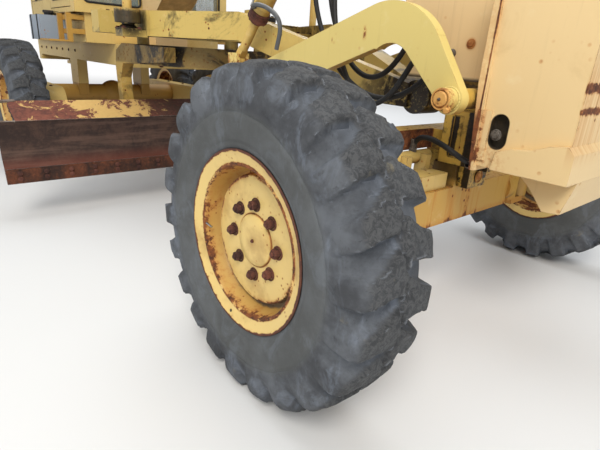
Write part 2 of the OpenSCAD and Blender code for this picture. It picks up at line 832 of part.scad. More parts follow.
module cab_shell() {
    hw = cab_w / 2;
    place() color(yellow) {
        difference() {
            block([cab_rear, -hw, cab_z + face_gap], [cab_front, hw, cab_top]);
            block([cab_rear + cab_t, -hw + cab_t, cab_z + cab_t],
                [cab_front - cab_t, hw - cab_t, cab_top - 60]);
            block([cab_front - 100, -hw + 90, cab_z + 520], [cab_front + 50, hw - 90, cab_top - 190]);
            block([cab_front - 100, -hw + 90, cab_z + 90], [cab_front + 50, -170, cab_z + 430]);
            block([cab_front - 100, 170, cab_z + 90], [cab_front + 50, hw - 90, cab_z + 430]);
            block([cab_rear - 50, -hw + 110, cab_z + 760], [cab_rear + 100, hw - 110, cab_top - 190]);
            block([door_rear - 2, -hw - 50, door_z0 - swing_gap],
                [door_front + swing_gap, hw + 50, door_z1 + swing_gap]);
            both_sides() block([cab_rear + 60, hw - 80, cab_z + 760],
                [door_rear - 70, hw + 50, cab_top - 200]);
        }
        block([cab_rear - 40, -hw - 20, cab_top - 1], [cab_front + 60, hw + 20, cab_top + 30]);
        both_sides() for (z = hinge_heights) hinge_half(z);
    }
}

hinge_heights = [door_z0 + 150, door_z1 - 250];
hinge_x = door_rear - 8;
hinge_r = 12;

// frame's half of a door hinge with its pin
module hinge_half(z) {
    y = cab_w / 2 + hinge_out;
    block([hinge_x - 50, cab_w / 2 - 1, z - 31], [hinge_x, y + 6, z - 1]);
    translate([hinge_x, y, z - 31]) cylinder(r = hinge_r, h = 30);
    translate([hinge_x, y, z - 2]) cylinder(r = 6, h = 70);
}

module door(side) {
    hw = cab_w / 2;
    y = hw + hinge_out;
    place() color(yellow) mirror([0, (1 - side) / 2, 0]) {
        difference() {
            block([door_rear + 6, hw - cab_t, door_z0], [door_front, hw, door_z1]);
            block([door_rear + 76, hw - cab_t - 9, door_z0 + 480],
                [door_front - 70, hw + 9, door_z1 - 70]);
            block([door_rear + 76, hw - cab_t - 9, door_z0 + 70],
                [door_front - 70, hw + 9, door_z0 + 410]);
        }
        for (z = hinge_heights) difference() {
            union() {
                translate([hinge_x, y, z]) cylinder(r = hinge_r, h = 60);
                block([hinge_x, hw - 1 + face_gap + 1, z], [hinge_x + 60, y + 6, z + 60]);
            }
            translate([hinge_x, y, z - 5]) cylinder(r = 6 + fit, h = 80);
        }
        block([door_front - 50, hw - 1, door_z0 + 430], [door_front - 20, hw + 30, door_z0 + 460]);
        color(glass) block([door_rear + 76, hw - 25, door_z0 + 480],
            [door_front - 70, hw - 19, door_z1 - 70]);
        color(glass) block([door_rear + 76, hw - 25, door_z0 + 70],
            [door_front - 70, hw - 19, door_z0 + 410]);
    }
}

module door_left() {
    door(1);
}

module door_right() {
    door(-1);
}

module cab_glass() {
    hw = cab_w / 2;
    place() color(glass) {
        block([cab_front - 26, -hw + 90, cab_z + 520], [cab_front - 20, hw - 90, cab_top - 190]);
        block([cab_front - 26, -hw + 90, cab_z + 90], [cab_front - 20, -170, cab_z + 430]);
        block([cab_front - 26, 170, cab_z + 90], [cab_front - 20, hw - 90, cab_z + 430]);
        block([cab_rear + 20, -hw + 110, cab_z + 760], [cab_rear + 26, hw - 110, cab_top - 190]);
        both_sides() block([cab_rear + 60, hw - 26, cab_z + 760],
            [door_rear - 70, hw - 20, cab_top - 200]);
    }
}

module seat() {
    x = cab_rear + 130;
    z = cab_z + cab_t + face_gap;
    place() {
        color(black) {
            block([x, -240, z + 330], [x + 470, 240, z + 440]);
            block([x - 60, -230, z + 420], [x + 70, 230, z + 980]);
        }
        color(grey_blue) block([x + 80, -160, z], [x + 390, 160, z + 331]);
    }
}

module console() {
    z = cab_z + cab_t;
    x = cab_front - 200;
    place() {
        color(black) {
            side_plate([[x, z], [x + 90, z], [x + 50, z + 620], [x - 40, z + 600]], 0, 260);
            translate([x - 10, 0, z + 600]) rotate([0, -25, 0]) cylinder(r = 24, h = 130);
            translate([x - 66, 0, z + 712]) rotate([0, -25, 0]) wheel_ring(190, 14);
        }
        color(rust) for (y = [-100 : 40 : 100]) if (abs(y) > 30)
            translate([x + 20, y, z + 600]) cylinder(r = 7, h = 190);
    }
}

// steering wheel with three spokes
module wheel_ring(r, t) {
    rotate_extrude($fn = 12) translate([r, 0]) circle(r = t, $fn = 8);
    for (a = [90, 210, 330]) rotate([0, 0, a]) translate([0, -12, -6]) cube([r, 24, 12]);
    translate([0, 0, -20]) cylinder(r = 40, h = 30);
}

// Engine

module engine_hood() {
    hw = hood_w / 2;
    z0 = rail_z + rail_h + face_gap;
    place() color(yellow) difference() {
        block([hood_rear, -hw, z0], [hood_front, hw, hood_top]);
        block([hood_rear + hood_t, -hw + hood_t, z0 - 1],
            [hood_front - hood_t, hw - hood_t, hood_top - hood_t]);
        block([hood_rear - 1, -hw + 80, z0 + 80], [hood_rear + hood_t + 1, hw - 80, hood_top - 90]);
        for (i = [0 : 5]) both_sides()
            block([hood_front - 420 - i * 90, hw - hood_t - 1, hood_top - 420],
                  [hood_front - 380 - i * 90, hw + 1, hood_top - 160]);
    }
}

module radiator_grille() {
    hw = hood_w / 2 - 80;
    z0 = rail_z + rail_h + 80;
    z1 = hood_top - 90;
    place() color(black) {
        for (i = [0 : 11]) block([hood_rear + 4, -hw, z0 + 12 + i * (z1 - z0) / 12],
                                 [hood_rear + 16, hw, z0 + 32 + i * (z1 - z0) / 12]);
        for (y = [-hw, -hw / 3, hw / 3 - 14, hw - 14])
            block([hood_rear + 10, y, z0 + face_gap], [hood_rear + 24, y + 14, z1]);
    }
}

module engine_block() {
    color(black) place() block([hood_rear + 350, -engine_half, rail_z + rail_h - 20 + face_gap],
                              [hood_front - 300, engine_half, hood_top - 180]);
}

module exhaust() {
    x = hood_front - 700;
    place() {
        color(rust) {
            translate([x, 200, hood_top + face_gap]) cylinder(r = 75, h = 420);
            translate([x, 200, hood_top + 400]) cylinder(r = 36, h = 520);
        }
        color(black) {
            translate([x - 420, -200, hood_top + face_gap]) cylinder(r = 34, h = 260);
            translate([x - 420, -200, hood_top + 240]) cylinder(r = 105, h = 190);
        }
    }
}

module fuel_tank() {
    z0 = rail_z + rail_h + face_gap;
    place() {
        color(grey_blue) block([cab_rear + 40, -860, 1130],
            [cab_rear + 420, -cab_w / 2 + 80 - face_gap, 1340]);
        color(yellow) block([cab_rear + 40, cab_w / 2 - 80 + face_gap, 1130], [cab_rear + 420, 860, 1340]);
    }
}

module steps() {
    place() color(ochre) both_sides() {
        x0 = cab_front - 330;
        y = cab_w / 2 + 20;
        for (x = [x0, x0 + 260]) block([x, y, step_z], [x + 30, y + 40, cab_z - 10]);
        block([x0, y, step_z - 5], [x0 + 290, y + 190, step_z + 10]);
        for (z = [step_z + 60, cab_z - 60])
            block([x0, cab_w / 2 - 80 + face_gap, z], [x0 + 290, y + 1, z + 40]);
    }
}

module lamps() {
    place() {
        color(black) both_sides() {
            translate([x_lamp, nose_w / 2 - 110, nose_top - 190]) rotate([0, 90, 0])
                cylinder(r = 70, h = front_x - x_lamp);
        }
        color(steel) both_sides()
            translate([cab_front + 5, cab_w / 2 - 120, cab_top - 61 - face_gap]) rotate([0, 90, 0])
                cylinder(r = 60, h = 50);
        color([0.6, 0.1, 0.05]) both_sides()
            block([rear_x, rail_span / 2 - 130, rail_z + rail_h - 60],
                  [rear_end - bumper_t - face_gap, rail_span / 2 - 20, rail_z + rail_h + 20]);
    }
}

x_lamp = neck_nose_x + 23 + nose_l + face_gap;

module mirrors() {
    place() color(black) both_sides() {
        block([cab_front + 5, cab_w / 2 + 20 + face_gap, cab_top + 2],
            [cab_front + 25, cab_w / 2 + 160, cab_top + 22]);
        block([cab_front, cab_w / 2 + 130, cab_top - 300], [cab_front + 30, cab_w / 2 + 300, cab_top + 3]);
    }
}

// Hoses held at both ends: a curve of any number of handles
function bezier(p, t) = len(p) == 1 ? p[0]
    : bezier([for (i = [0 : len(p) - 2]) (1 - t) * p[i] + t * p[i + 1]], t);

module hose(p, r, steps) {
    sides = 8;
    ring = [for (i = [0 : steps]) let (
        c = bezier(p, i / steps),
        d = i == 0 ? p[1] - p[0] : i == steps ? p[len(p) - 1] - p[len(p) - 2]
            : bezier(p, (i + 0.5) / steps) - bezier(p, (i - 0.5) / steps),
        u = cross(d, [0.3, 1, 0.2]) / norm(cross(d, [0.3, 1, 0.2])),
        v = cross(d, u) / norm(cross(d, u))
    ) for (k = [0 : sides - 1]) c + r * (cos(k * 360 / sides) * u + sin(k * 360 / sides) * v)];
    faces = concat(
        [[for (k = [0 : sides - 1]) k]],
        [for (i = [0 : steps - 1]) for (k = [0 : sides - 1])
            [i * sides + k, (i + 1) * sides + k, (i + 1) * sides + (k + 1) % sides,
                i * sides + (k + 1) % sides]],
        [[for (k = [sides - 1 : -1 : 0]) steps * sides + k]]
    );
    polyhedron(ring, faces);
}

// three loops from the neck's head to its underside, and one to the steering cylinder
function loop(x0, z0, low, x1, z1, y) = [
    [x0, -neck_w / 2 - face_gap, z0], [x0, y, z0], [x0, y, low], [x1 + 200, y, low],
    [x1, y, z1], [x1, -neck_w / 2 - face_gap, z1]
];
hose_routes = [
    loop(-20, 1180, 765, -860, 1595, -313),
    loop(-110, 1240, 690, -680, 1585, -354),
    loop(-180, 1290, 850, -760, 1590, -284),
    [[150, -110.3, 740], [150, -190, 740], [60, -250, 840], [steer_cyl_x, -215, 880],
     [steer_cyl_x, -215, steer_cyl_z + steer_cyl_r + face_gap]]
];

module hoses() {
    color(black) place() for (p = hose_routes) hose(p, 12, 18);
}

gooseneck();
lift_saddle();
rear_frame();
front_bolster();
front_nose();
front_axle();
steering_cylinder();
tie_rod();
knuckle_left();
knuckle_right();
on_wheel(0, 1) rim();  // rim_front_left
on_wheel(0, -1) rim();  // rim_front_right
on_wheel(mid_x, 1) rim();  // rim_mid_left
on_wheel(mid_x, -1) rim();  // rim_mid_right
on_wheel(back_x, 1) rim();  // rim_rear_left
on_wheel(back_x, -1) rim();  // rim_rear_right
on_wheel(0, 1) tyre();  // tyre_front_left
on_wheel(0, -1) tyre();  // tyre_front_right
on_wheel(mid_x, 1) tyre();  // tyre_mid_left
on_wheel(mid_x, -1) tyre();  // tyre_mid_right
on_wheel(back_x, 1) tyre();  // tyre_rear_left
on_wheel(back_x, -1) tyre();  // tyre_rear_right
rear_axle();
tandem_cases();
drawbar();
circle_turn();  // circle
blade_carrier();
moldboard();
cutting_edge();
lift_cylinders();
lift_rods();
scarifier_arms();
scarifier_teeth();
scarifier_cylinder();
scarifier_rod();
cab_shell();
cab_glass();
door_left();
door_right();
seat();
console();
engine_hood();
radiator_grille();
engine_block();
exhaust();
fuel_tank();
steps();
lamps();
mirrors();
hoses();
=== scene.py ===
import bpy, bmesh, json, math, random
from mathutils import Vector, Matrix, noise


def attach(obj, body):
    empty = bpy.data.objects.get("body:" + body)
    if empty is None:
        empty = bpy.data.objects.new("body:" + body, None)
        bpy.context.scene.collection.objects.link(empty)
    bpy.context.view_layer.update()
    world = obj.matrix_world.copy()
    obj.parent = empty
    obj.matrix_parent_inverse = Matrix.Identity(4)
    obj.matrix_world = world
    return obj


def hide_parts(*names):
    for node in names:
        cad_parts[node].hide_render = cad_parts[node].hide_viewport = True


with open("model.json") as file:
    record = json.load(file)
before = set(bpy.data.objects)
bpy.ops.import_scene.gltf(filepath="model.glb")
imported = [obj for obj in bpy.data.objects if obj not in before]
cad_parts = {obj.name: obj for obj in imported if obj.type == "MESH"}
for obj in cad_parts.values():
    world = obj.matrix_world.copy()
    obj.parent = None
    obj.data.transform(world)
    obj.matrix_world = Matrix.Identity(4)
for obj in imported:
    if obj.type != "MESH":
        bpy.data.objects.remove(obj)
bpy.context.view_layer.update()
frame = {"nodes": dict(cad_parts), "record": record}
nodes = frame["nodes"]
scene = bpy.context.scene
random.seed(7)

TAU = 2 * math.pi
X, Y, Z = Vector((1, 0, 0)), Vector((0, 1, 0)), Vector((0, 0, 1))
SIDES = (1, -1)             # left, right
FRONT_AXLE_X = 2.739        # where the frame has the front axle, in metres


def mm(axis, value):
    """A coordinate in millimetres from the front axle, in the scene's metres."""
    return value / 1000 + (FRONT_AXLE_X if axis == "X" else 0)


def at(x, y, z):
    """A place given in millimetres from the front axle's middle on the ground."""
    return Vector((mm("X", x), mm("Y", y), mm("Z", z)))


def route(*places):
    return [at(*place) for place in places]


def side_name(side):
    return "left" if side > 0 else "right"


# Camera, at the photograph's viewing angle
PICTURE_WIDTH, SENSOR_WIDTH = 600, 36
FOCAL_PIXELS, YAW, PITCH, ROLL = 453.55, 138.36, 20.46, -3.67
CAMERA_AT = at(1116, -1951, 1133)


def make_camera():
    yaw, pitch, roll = (math.radians(angle) for angle in (YAW, PITCH, ROLL))
    forward = Vector((math.cos(pitch) * math.cos(yaw), math.cos(pitch) * math.sin(yaw), -math.sin(pitch)))
    right = Vector((math.sin(yaw), -math.cos(yaw), 0))
    down = forward.cross(right)
    image_x = math.cos(roll) * right + math.sin(roll) * down
    image_y = math.sin(roll) * right - math.cos(roll) * down
    data = bpy.data.cameras.new("camera")
    data.sensor_fit, data.sensor_width = "HORIZONTAL", SENSOR_WIDTH
    data.lens = FOCAL_PIXELS / PICTURE_WIDTH * SENSOR_WIDTH
    data.clip_start, data.clip_end = 0.05, 200
    camera = bpy.data.objects.new("camera", data)
    scene.collection.objects.link(camera)
    turn = Matrix((image_x, image_y, -forward)).transposed().to_4x4()
    camera.matrix_world = Matrix.Translation(CAMERA_AT) @ turn
    scene.camera = camera


make_camera()
scene.view_settings.view_transform = "Standard"


# Shader helpers

def linear(colour):
    """A display colour, 0 to 255, as the linear numbers that a shader takes."""
    parts = [part / 255 for part in colour]
    return tuple(part / 12.92 if part <= 0.04045 else ((part + 0.055) / 1.055) ** 2.4 for part in parts)


class Val:
    """A number in a material's node tree. Arithmetic on it makes Math nodes."""

    def __init__(self, mat, socket):
        self.mat, self.socket = mat, socket

    def math(self, op, *others, clamp=False):
        node = self.mat.node("ShaderNodeMath", {"operation": op, "use_clamp": clamp})
        for i, value in enumerate((self,) + others):
            self.mat.put(node.inputs[i], value)
        return Val(self.mat, node.outputs[0])

    def __add__(self, other):
        return self.math("ADD", other)

    def __sub__(self, other):
        return self.math("SUBTRACT", other)

    def __rsub__(self, other):
        return self.math("MULTIPLY_ADD", -1.0, other)

    def __mul__(self, other):
        return self.math("MULTIPLY", other)

    __radd__, __rmul__ = __add__, __mul__

    def step(self, low, high):
        """0 below low, 1 above high, smooth between; low may be the higher one."""
        node = self.mat.node("ShaderNodeMapRange", {"interpolation_type": "SMOOTHSTEP"})
        for i, value in enumerate((self, low, high)):
            self.mat.put(node.inputs[i], value)
        return Val(self.mat, node.outputs[0])

    def clip(self):
        return self.math("ADD", 0.0, clamp=True)


class Mat:
    """One procedural material. Colours are display colours, 0 to 255."""

    def __init__(self, name):
        self.data = bpy.data.materials.new(name)
        self.data.use_nodes = True
        self.tree = self.data.node_tree
        self.shader = self.tree.nodes["Principled BSDF"]
        coords = self.node("ShaderNodeTexCoord")
        self.place = coords.outputs["Object"]
        self.facing = coords.outputs["Normal"]

    def node(self, kind, settings=None, **sockets):
        node = self.tree.nodes.new(kind)
        for key, value in (settings or {}).items():
            setattr(node, key, value)
        for key, value in sockets.items():
            self.put(node.inputs[key.replace("_", " ")], value)
        return node

    def put(self, inp, value):
        if isinstance(value, Val):
            value = value.socket
        if isinstance(value, bpy.types.NodeSocket):
            self.tree.links.new(value, inp)
        else:
            inp.default_value = value

    def vector(self, op, first, second):
        node = self.node("ShaderNodeVectorMath", {"operation": op})
        self.put(node.inputs[0], first)
        self.put(node.inputs[1], second)
        return Val(self, node.outputs["Value"])

    def noise(self, scale, detail=4, rough=0.6, warp=0.0):
        """Noise about 0.5; three scales draw its pattern out along an axis."""
        place = self.place
        if isinstance(scale, tuple):
            place, scale = self.node("ShaderNodeMapping", Vector=place, Scale=scale).outputs[0], 1
        node = self.node("ShaderNodeTexNoise", Vector=place, Scale=scale, Detail=detail, Roughness=rough,
                         Distortion=warp)
        return Val(self, node.outputs[0])

    def cells(self, scale):
        return Val(self, self.node("ShaderNodeTexVoronoi", Vector=self.place, Scale=scale).outputs[0])

    def axis(self, which):
        return Val(self, self.node("ShaderNodeSeparateXYZ", Vector=self.place).outputs["XYZ".index(which)])

    def past(self, axis, low, high, wobble=None):
        """0 before low, 1 past high, both in millimetres from the front axle; low may be the higher one."""
        value = self.axis(axis)
        return (value + wobble if wobble else value).step(mm(axis, low), mm(axis, high))

    def span(self, axis, low, high, soft=4):
        """1 between two places of one axis, in millimetres from the front axle."""
        return self.past(axis, low - soft, low + soft) * self.past(axis, high + soft, high - soft)

    def near(self, where, inner, outer):
        """1 within inner millimetres of a place, 0 beyond outer."""
        return self.vector("DISTANCE", self.place, at(*where)).step(outer / 1000, inner / 1000)

    def toward(self, direction):
        """1 where the surface faces the direction, -1 where it faces away."""
        return self.vector("DOT_PRODUCT", self.facing, Vector(direction).normalized())

    def rounded(self, radius):
        """The surface's normal with its edges softened."""
        return self.node("ShaderNodeBevel", {"samples": 4}, Radius=radius).outputs[0]

    def edges(self, radius):
        """About 0 on flat surface, up to 1 at a convex or concave edge."""
        surface = self.node("ShaderNodeNewGeometry").outputs["Normal"]
        return (1.0 - self.vector("DOT_PRODUCT", self.rounded(radius), surface)) * 3.4

    def hollow(self, reach):
        """0 in the open, towards 1 in corners and hollows."""
        node = self.node("ShaderNodeAmbientOcclusion", {"samples": 6}, Distance=reach)
        return 1.0 - Val(self, node.outputs["AO"])

    def mix(self, first, second, factor):
        node = self.node("ShaderNodeMix", {"data_type": "RGBA", "clamp_factor": True})
        self.put(node.inputs[0], factor)
        for slot, colour in ((6, first), (7, second)):
            self.put(node.inputs[slot], (*linear(colour), 1) if isinstance(colour, tuple) else colour)
        return node.outputs[2]

    def blend(self, low, high, factor):
        """A number that goes from low to high as factor goes from 0 to 1."""
        return (high - low) * factor + low

    def bump(self, height, distance, strength, after=None):
        node = self.node("ShaderNodeBump", Strength=strength, Distance=distance, Height=height)
        if after:
            self.put(node.inputs["Normal"], after)
        return node.outputs[0]

    def finish(self, color, rough, normal=None, metal=None, **fixed):
        varying = {"Base Color": color, "Roughness": rough, "Normal": normal, "Metallic": metal}
        for key, value in varying.items():
            if value is not None:
                self.put(self.shader.inputs[key], value)
        for key, value in fixed.items():
            self.shader.inputs[key.replace("_", " ")].default_value = value
        return self.data


# Materials

RUST_DARK, RUST_MID, RUST_PALE = (74, 42, 28), (134, 78, 42), (196, 128, 70)
GRIME = (52, 38, 24)
YELLOW_SUN, YELLOW_SHADE = (222, 192, 118), (178, 132, 54)


def rust_tone(m, scale=30):
    tone = m.mix(RUST_DARK, RUST_MID, m.noise(scale, 5).step(0.35, 0.65))
    return m.mix(tone, RUST_PALE, m.noise(scale * 3.1, 3).step(0.58, 0.76))


def weathered(m, sun, shade, grime, bleach_and_light):
    """Paint lighter where it faces the sky, the front and the right, which is painted light, with pale
    sun-bleached patches there, clouds and runs, and darker in hollows and on faces that look down. It gives the
    tone and the masks of clouds and of that darkening."""
    # painted light: the sun tone where the surface faces the front, the right and the sky, the shade tone
    # elsewhere
    lit = (m.toward((0.45, -0.5, 0.6)) + m.noise(1.3, 3) * 0.5).step(-0.25, 0.85)
    cloud = m.noise(4.5, 5, 0.65, warp=0.6)
    tone = m.mix(m.mix(shade, sun, lit), m.mix(shade, GRIME, 0.25), cloud.step(0.56, 0.8) * 0.28)
    # pale patches only on the lit faces: sun bleaching, and painted highlight
    tone = m.mix(tone, (250, 238, 200), m.noise(9, 4).step(0.6, 0.85) * lit * bleach_and_light)
    runs = m.noise((38, 38, 1.6), 5, 0.7).step(0.56, 0.78)
    tone = m.mix(tone, (132, 92, 44), runs * (0.2 * grime))
    # darker in hollows and on faces that look down, in patches
    below = m.toward(-Z).step(0.1, 0.9)
    darkening = ((m.hollow(0.07).step(0.18, 0.85) + below * 0.6) * m.noise(14, 5).step(0.25, 0.7)).clip()
    return m.mix(tone, GRIME, darkening * (0.62 * grime)), cloud, darkening


def corrosion(m, ragged, specks):
    """Rust along worn edges, and that rust together with specks and patches."""
    worn = (m.edges(0.006) * (ragged * 2.0)).step(0.52, 0.8) * m.noise(5, 3).step(0.42, 0.6)
    speck = (0.42 - m.cells(26)).step(0.17, 0.33) * m.noise(7, 3).step(0.52, 0.66)
    patch = (m.noise(5.5, 7, 0.72) + ragged * 0.25).step(0.80, 0.88)
    return worn, (worn + speck * specks + patch).clip()


def glass_film(m):
    """Dust on glass: how thick it lies, the tone and how much it hides."""
    film = m.noise(5, 5) * 0.6 + m.noise((22, 22, 1.2)) * 0.4
    return film, m.mix((150, 172, 172), (196, 194, 180), film.step(0.4, 0.7)), film.step(0.42, 0.75)


def paint(name, sun, shade, rust=1.0, grime=1.0, specks=1.0, bleach_and_light=0.4, spots=None, panes=None):
    """Weathered paint. spots(m, ragged) gives the masks of placed rust and of placed grease, the grease in some
    places standing for painted shade, or None; panes(m) gives the mask of glass."""
    m = Mat(name)
    tone, cloud, darkening = weathered(m, sun, shade, grime, bleach_and_light)
    ragged = m.noise(46, 6, 0.7)
    worn, corroded = corrosion(m, ragged, specks)
    corroded = corroded * rust
    placed_rust, placed_grease_and_shade = spots(m, ragged) if spots else (None, None)
    if placed_rust:
        corroded = corroded + placed_rust
    tone = m.mix(tone, (196, 126, 58), (corroded * 1.3 + m.noise(20, 3).step(0.6, 0.8) * worn).clip() * 0.75)
    tone = m.mix(tone, rust_tone(m), corroded.step(0.5, 0.95))
    rough = m.blend(0.42, 0.88, (corroded + darkening * 0.7 + cloud * 0.12).clip())
    if placed_grease_and_shade:
        # grease, and where the spots mark shade, painted shade
        tone = m.mix(tone, m.mix((20, 17, 14), (58, 44, 26), ragged.step(0.4, 0.7)), placed_grease_and_shade)
    if panes:
        glass = panes(m)
        film, film_tone, hides = glass_film(m)
        tone = m.mix(tone, film_tone, glass)
        rough = m.blend(rough, 0.12, glass)
        m.put(m.shader.inputs["Alpha"], 1.0 - glass * (0.74 - hides * 0.34))
    height = corroded * -0.6 + m.noise(160, 3) * 0.12 + ragged * corroded * 0.9 + cloud * 0.2
    return m.finish(tone, rough, m.bump(height, 0.0012, 0.5, after=m.rounded(0.004)))


def rusty(name, dark, mid, pale, bright=0.0):
    """Bare steel that has rusted, with rubbed bright edges where bright is above 0."""
    m = Mat(name)
    cloud = m.noise(6.6, 6, 0.68, warp=0.4)
    grain = m.noise(57.2, 5, 0.7)
    tone = m.mix(dark, mid, (cloud * 0.7 + grain * 0.35).step(0.42, 0.66))
    tone = m.mix(tone, pale, (grain * 0.7 + m.noise(198, 2) * 0.4).step(0.62, 0.8) * 0.7)
    shine = (m.edges(0.005) * (grain * 1.8)).step(0.45, 0.8) * bright
    tone = m.mix(tone, (186, 178, 170), shine)
    # painted shade: near black in hollows
    tone = m.mix(tone, (30, 22, 18), m.hollow(0.06).step(0.15, 0.8) * 0.6)
    normal = m.bump(cloud * 0.5 + grain * 0.8, 0.002, 0.55, after=m.rounded(0.003))
    return m.finish(tone, m.blend(0.92, 0.42, shine), normal, shine * 0.8)


AXLES = {"front": 0, "mid": -3920, "rear": -5200}    # each axle's place along X
AXLE_HEIGHT, WHEEL_Y = 560, 1080


def wheel_radius(m):
    """Distance from the nearest axle line, in the wheel's own plane."""
    height = m.axis("Z") - AXLE_HEIGHT / 1000
    radius = None
    for axle in AXLES.values():
        along = m.axis("X") - mm("X", axle)
        here = (along * along + height * height).math("SQRT")
        radius = here.math("MINIMUM", radius) if radius else here
    return radius


def tyre_rubber():
    """Rubber with dark worn lug tops, bluish dust in the grooves and pale rubbed edges."""
    m = Mat("tyre_rubber")
    dusty, scuff = m.noise(7, 5, 0.65), m.noise(60, 6, 0.8, warp=1.0)
    radius = wheel_radius(m)
    top = (radius + (scuff - 0.5) * 0.012).step(0.532, 0.548)
    smear = m.noise((9, 9, 5), 5, 0.7, warp=0.8).step(0.50, 0.68)
    tone = m.mix((62, 64, 68), (98, 102, 108), dusty.step(0.35, 0.7))
    groove = (m.hollow(0.06).step(0.10, 0.62) * 0.42 + smear * 0.42).clip() * (1.0 - top * 0.85)
    tone = m.mix(tone, (130, 139, 153), groove)
    tone = m.mix(tone, m.mix((50, 51, 53), (86, 87, 88), scuff.step(0.42, 0.6)), top * 0.85)
    tone = m.mix(tone, (154, 160, 170), (m.edges(0.012) * m.noise(30, 4)).step(0.16, 0.46) * 0.55)
    tone = m.mix(tone, (146, 134, 104), m.noise(9, 6, 0.75).step(0.62, 0.76) * 0.5)
    tone = m.mix(tone, (38, 39, 41), scuff.step(0.56, 0.70) * radius.step(0.42, 0.47) * 0.55)
    # painted shade: near black deep in tight hollows
    tone = m.mix(tone, (30, 31, 33), m.hollow(0.018).step(0.30, 0.8) * 0.7)
    tone = m.mix(tone, (92, 94, 92), radius.step(0.435, 0.405) * 0.5)
    return m.finish(tone, m.blend(0.78, 0.95, dusty), m.bump(scuff * 0.9 + m.noise(240, 3) * 0.4, 0.0026, 0.75))


def dusty_black(name, dark=(22, 22, 23), pale=(62, 64, 66)):
    """Smooth rubber, enamel or plastic with dust on its upper side."""
    m = Mat(name)
    dusty = m.noise(18, 5) * 0.6 + m.toward(Z).step(0.2, 1.0) * 0.5
    tone = m.mix(dark, pale, dusty.step(0.35, 0.85))
    return m.finish(tone, m.blend(0.5, 0.85, dusty.clip()), m.bump(m.noise(300, 2), 0.0006, 0.4))


def greasy():
    m = Mat("old_grease")
    lump = m.noise(28, 6, 0.7, warp=1.2)
    tone = m.mix((14, 12, 10), (64, 48, 28), lump.step(0.45, 0.75))
    return m.finish(tone, m.blend(0.22, 0.7, m.noise(12, 3)), m.bump(lump, 0.004, 0.7))


def ground_steel():
    m = Mat("ground_steel")
    ring = m.noise((12, 12, 160), 3)
    spot = m.noise(30, 5).step(0.6, 0.75)
    tone = m.mix(m.mix((150, 150, 150), (204, 204, 200), ring), (110, 88, 62), spot * 0.6)
    return m.finish(tone, m.blend(0.24, 0.7, spot), m.bump(ring, 0.0003, 0.3), m.blend(0.95, 0.2, spot))


def window_glass():
    m = Mat("window_glass")
    film, tone, hides = glass_film(m)
    m.put(m.shader.inputs["Alpha"], m.blend(0.26, 0.6, hides))
    return m.finish(tone, m.blend(0.06, 0.4, film.step(0.4, 0.8)), m.bump(film, 0.0008, 0.2))


def worn_vinyl():
    m = Mat("black_vinyl")
    fold = m.noise(9, 5, 0.6, warp=0.8)
    tone = m.mix((24, 24, 25), (58, 56, 54), fold.step(0.45, 0.8))
    tone = m.mix(tone, (118, 108, 92), m.noise(60, 4).step(0.64, 0.78) * 0.5)
    normal = m.bump(m.cells(420) * 0.5 + fold, 0.0012, 0.4)
    return m.finish(tone, m.blend(0.38, 0.66, fold), normal, Specular_IOR_Level=0.4)


def lamp_glass():
    m = Mat("lamp_glass")
    flutes = (m.axis("Y") * 420.0).math("SINE")
    tone = m.mix((188, 192, 190), (232, 232, 226), m.noise(20, 3))
    metal = m.blend(0.3, 0.1, m.noise(9, 2))
    return m.finish(tone, m.blend(0.1, 0.3, m.noise(40, 3)), m.bump(flutes, 0.001, 0.5), metal)


def blade_plate():
    """The moldboard: dark worn face with a bright rubbed line, and a rusty cover with old paint on it."""
    m = Mat("blade_plate")
    cloud, grain = m.noise(5, 6, 0.68, warp=0.4), m.noise(48, 5, 0.7)
    face = m.mix((48, 33, 28), (78, 56, 46), (cloud * 0.7 + grain * 0.3).step(0.42, 0.62))
    rub = m.noise((14, 1.1, 14), 5, 0.7).step(0.5, 0.68)
    face = m.mix(face, (112, 84, 70), rub * 0.45)
    face = m.mix(face, (32, 24, 22), m.noise((5, 9, 1.5)).step(0.56, 0.7) * 0.6)
    face = m.mix(face, (122, 58, 38), m.past("Z", 470, 360, grain * 0.05) * 0.55)
    cover = m.mix((84, 44, 36), (132, 74, 56), (cloud * 0.5 + grain * 0.5).step(0.4, 0.62))
    old_paint = m.mix((206, 164, 92), (226, 190, 120), grain)
    kept = m.noise(7, 6, 0.75, warp=0.5) + m.span("Y", -1050, -520, 120) * 0.12 - grain * 0.06
    kept = kept.step(0.535, 0.565)
    cover = m.mix(cover, old_paint, kept * m.past("Y", -1450, -1320))
    cover = m.mix(cover, (56, 44, 34), m.past("Y", -620, -420) * cloud.step(0.3, 0.6) * 0.8)
    behind = m.toward((-0.55, 0, 0.8)).step(0.30, 0.45)
    shine = (m.edges(0.006) * (grain * 1.6)).step(0.40, 0.8) * m.past("X", -2190, -2172)
    tone = m.mix(m.mix(face, cover, behind), (178, 168, 160), shine * 0.9)
    normal = m.bump(cloud * 0.5 + grain * 0.6 - kept * 0.2, 0.002, 0.5, after=m.rounded(0.004))
    return m.finish(tone, m.blend(0.78, 0.40, (shine + rub * 0.25).clip()), normal, shine * 0.7)


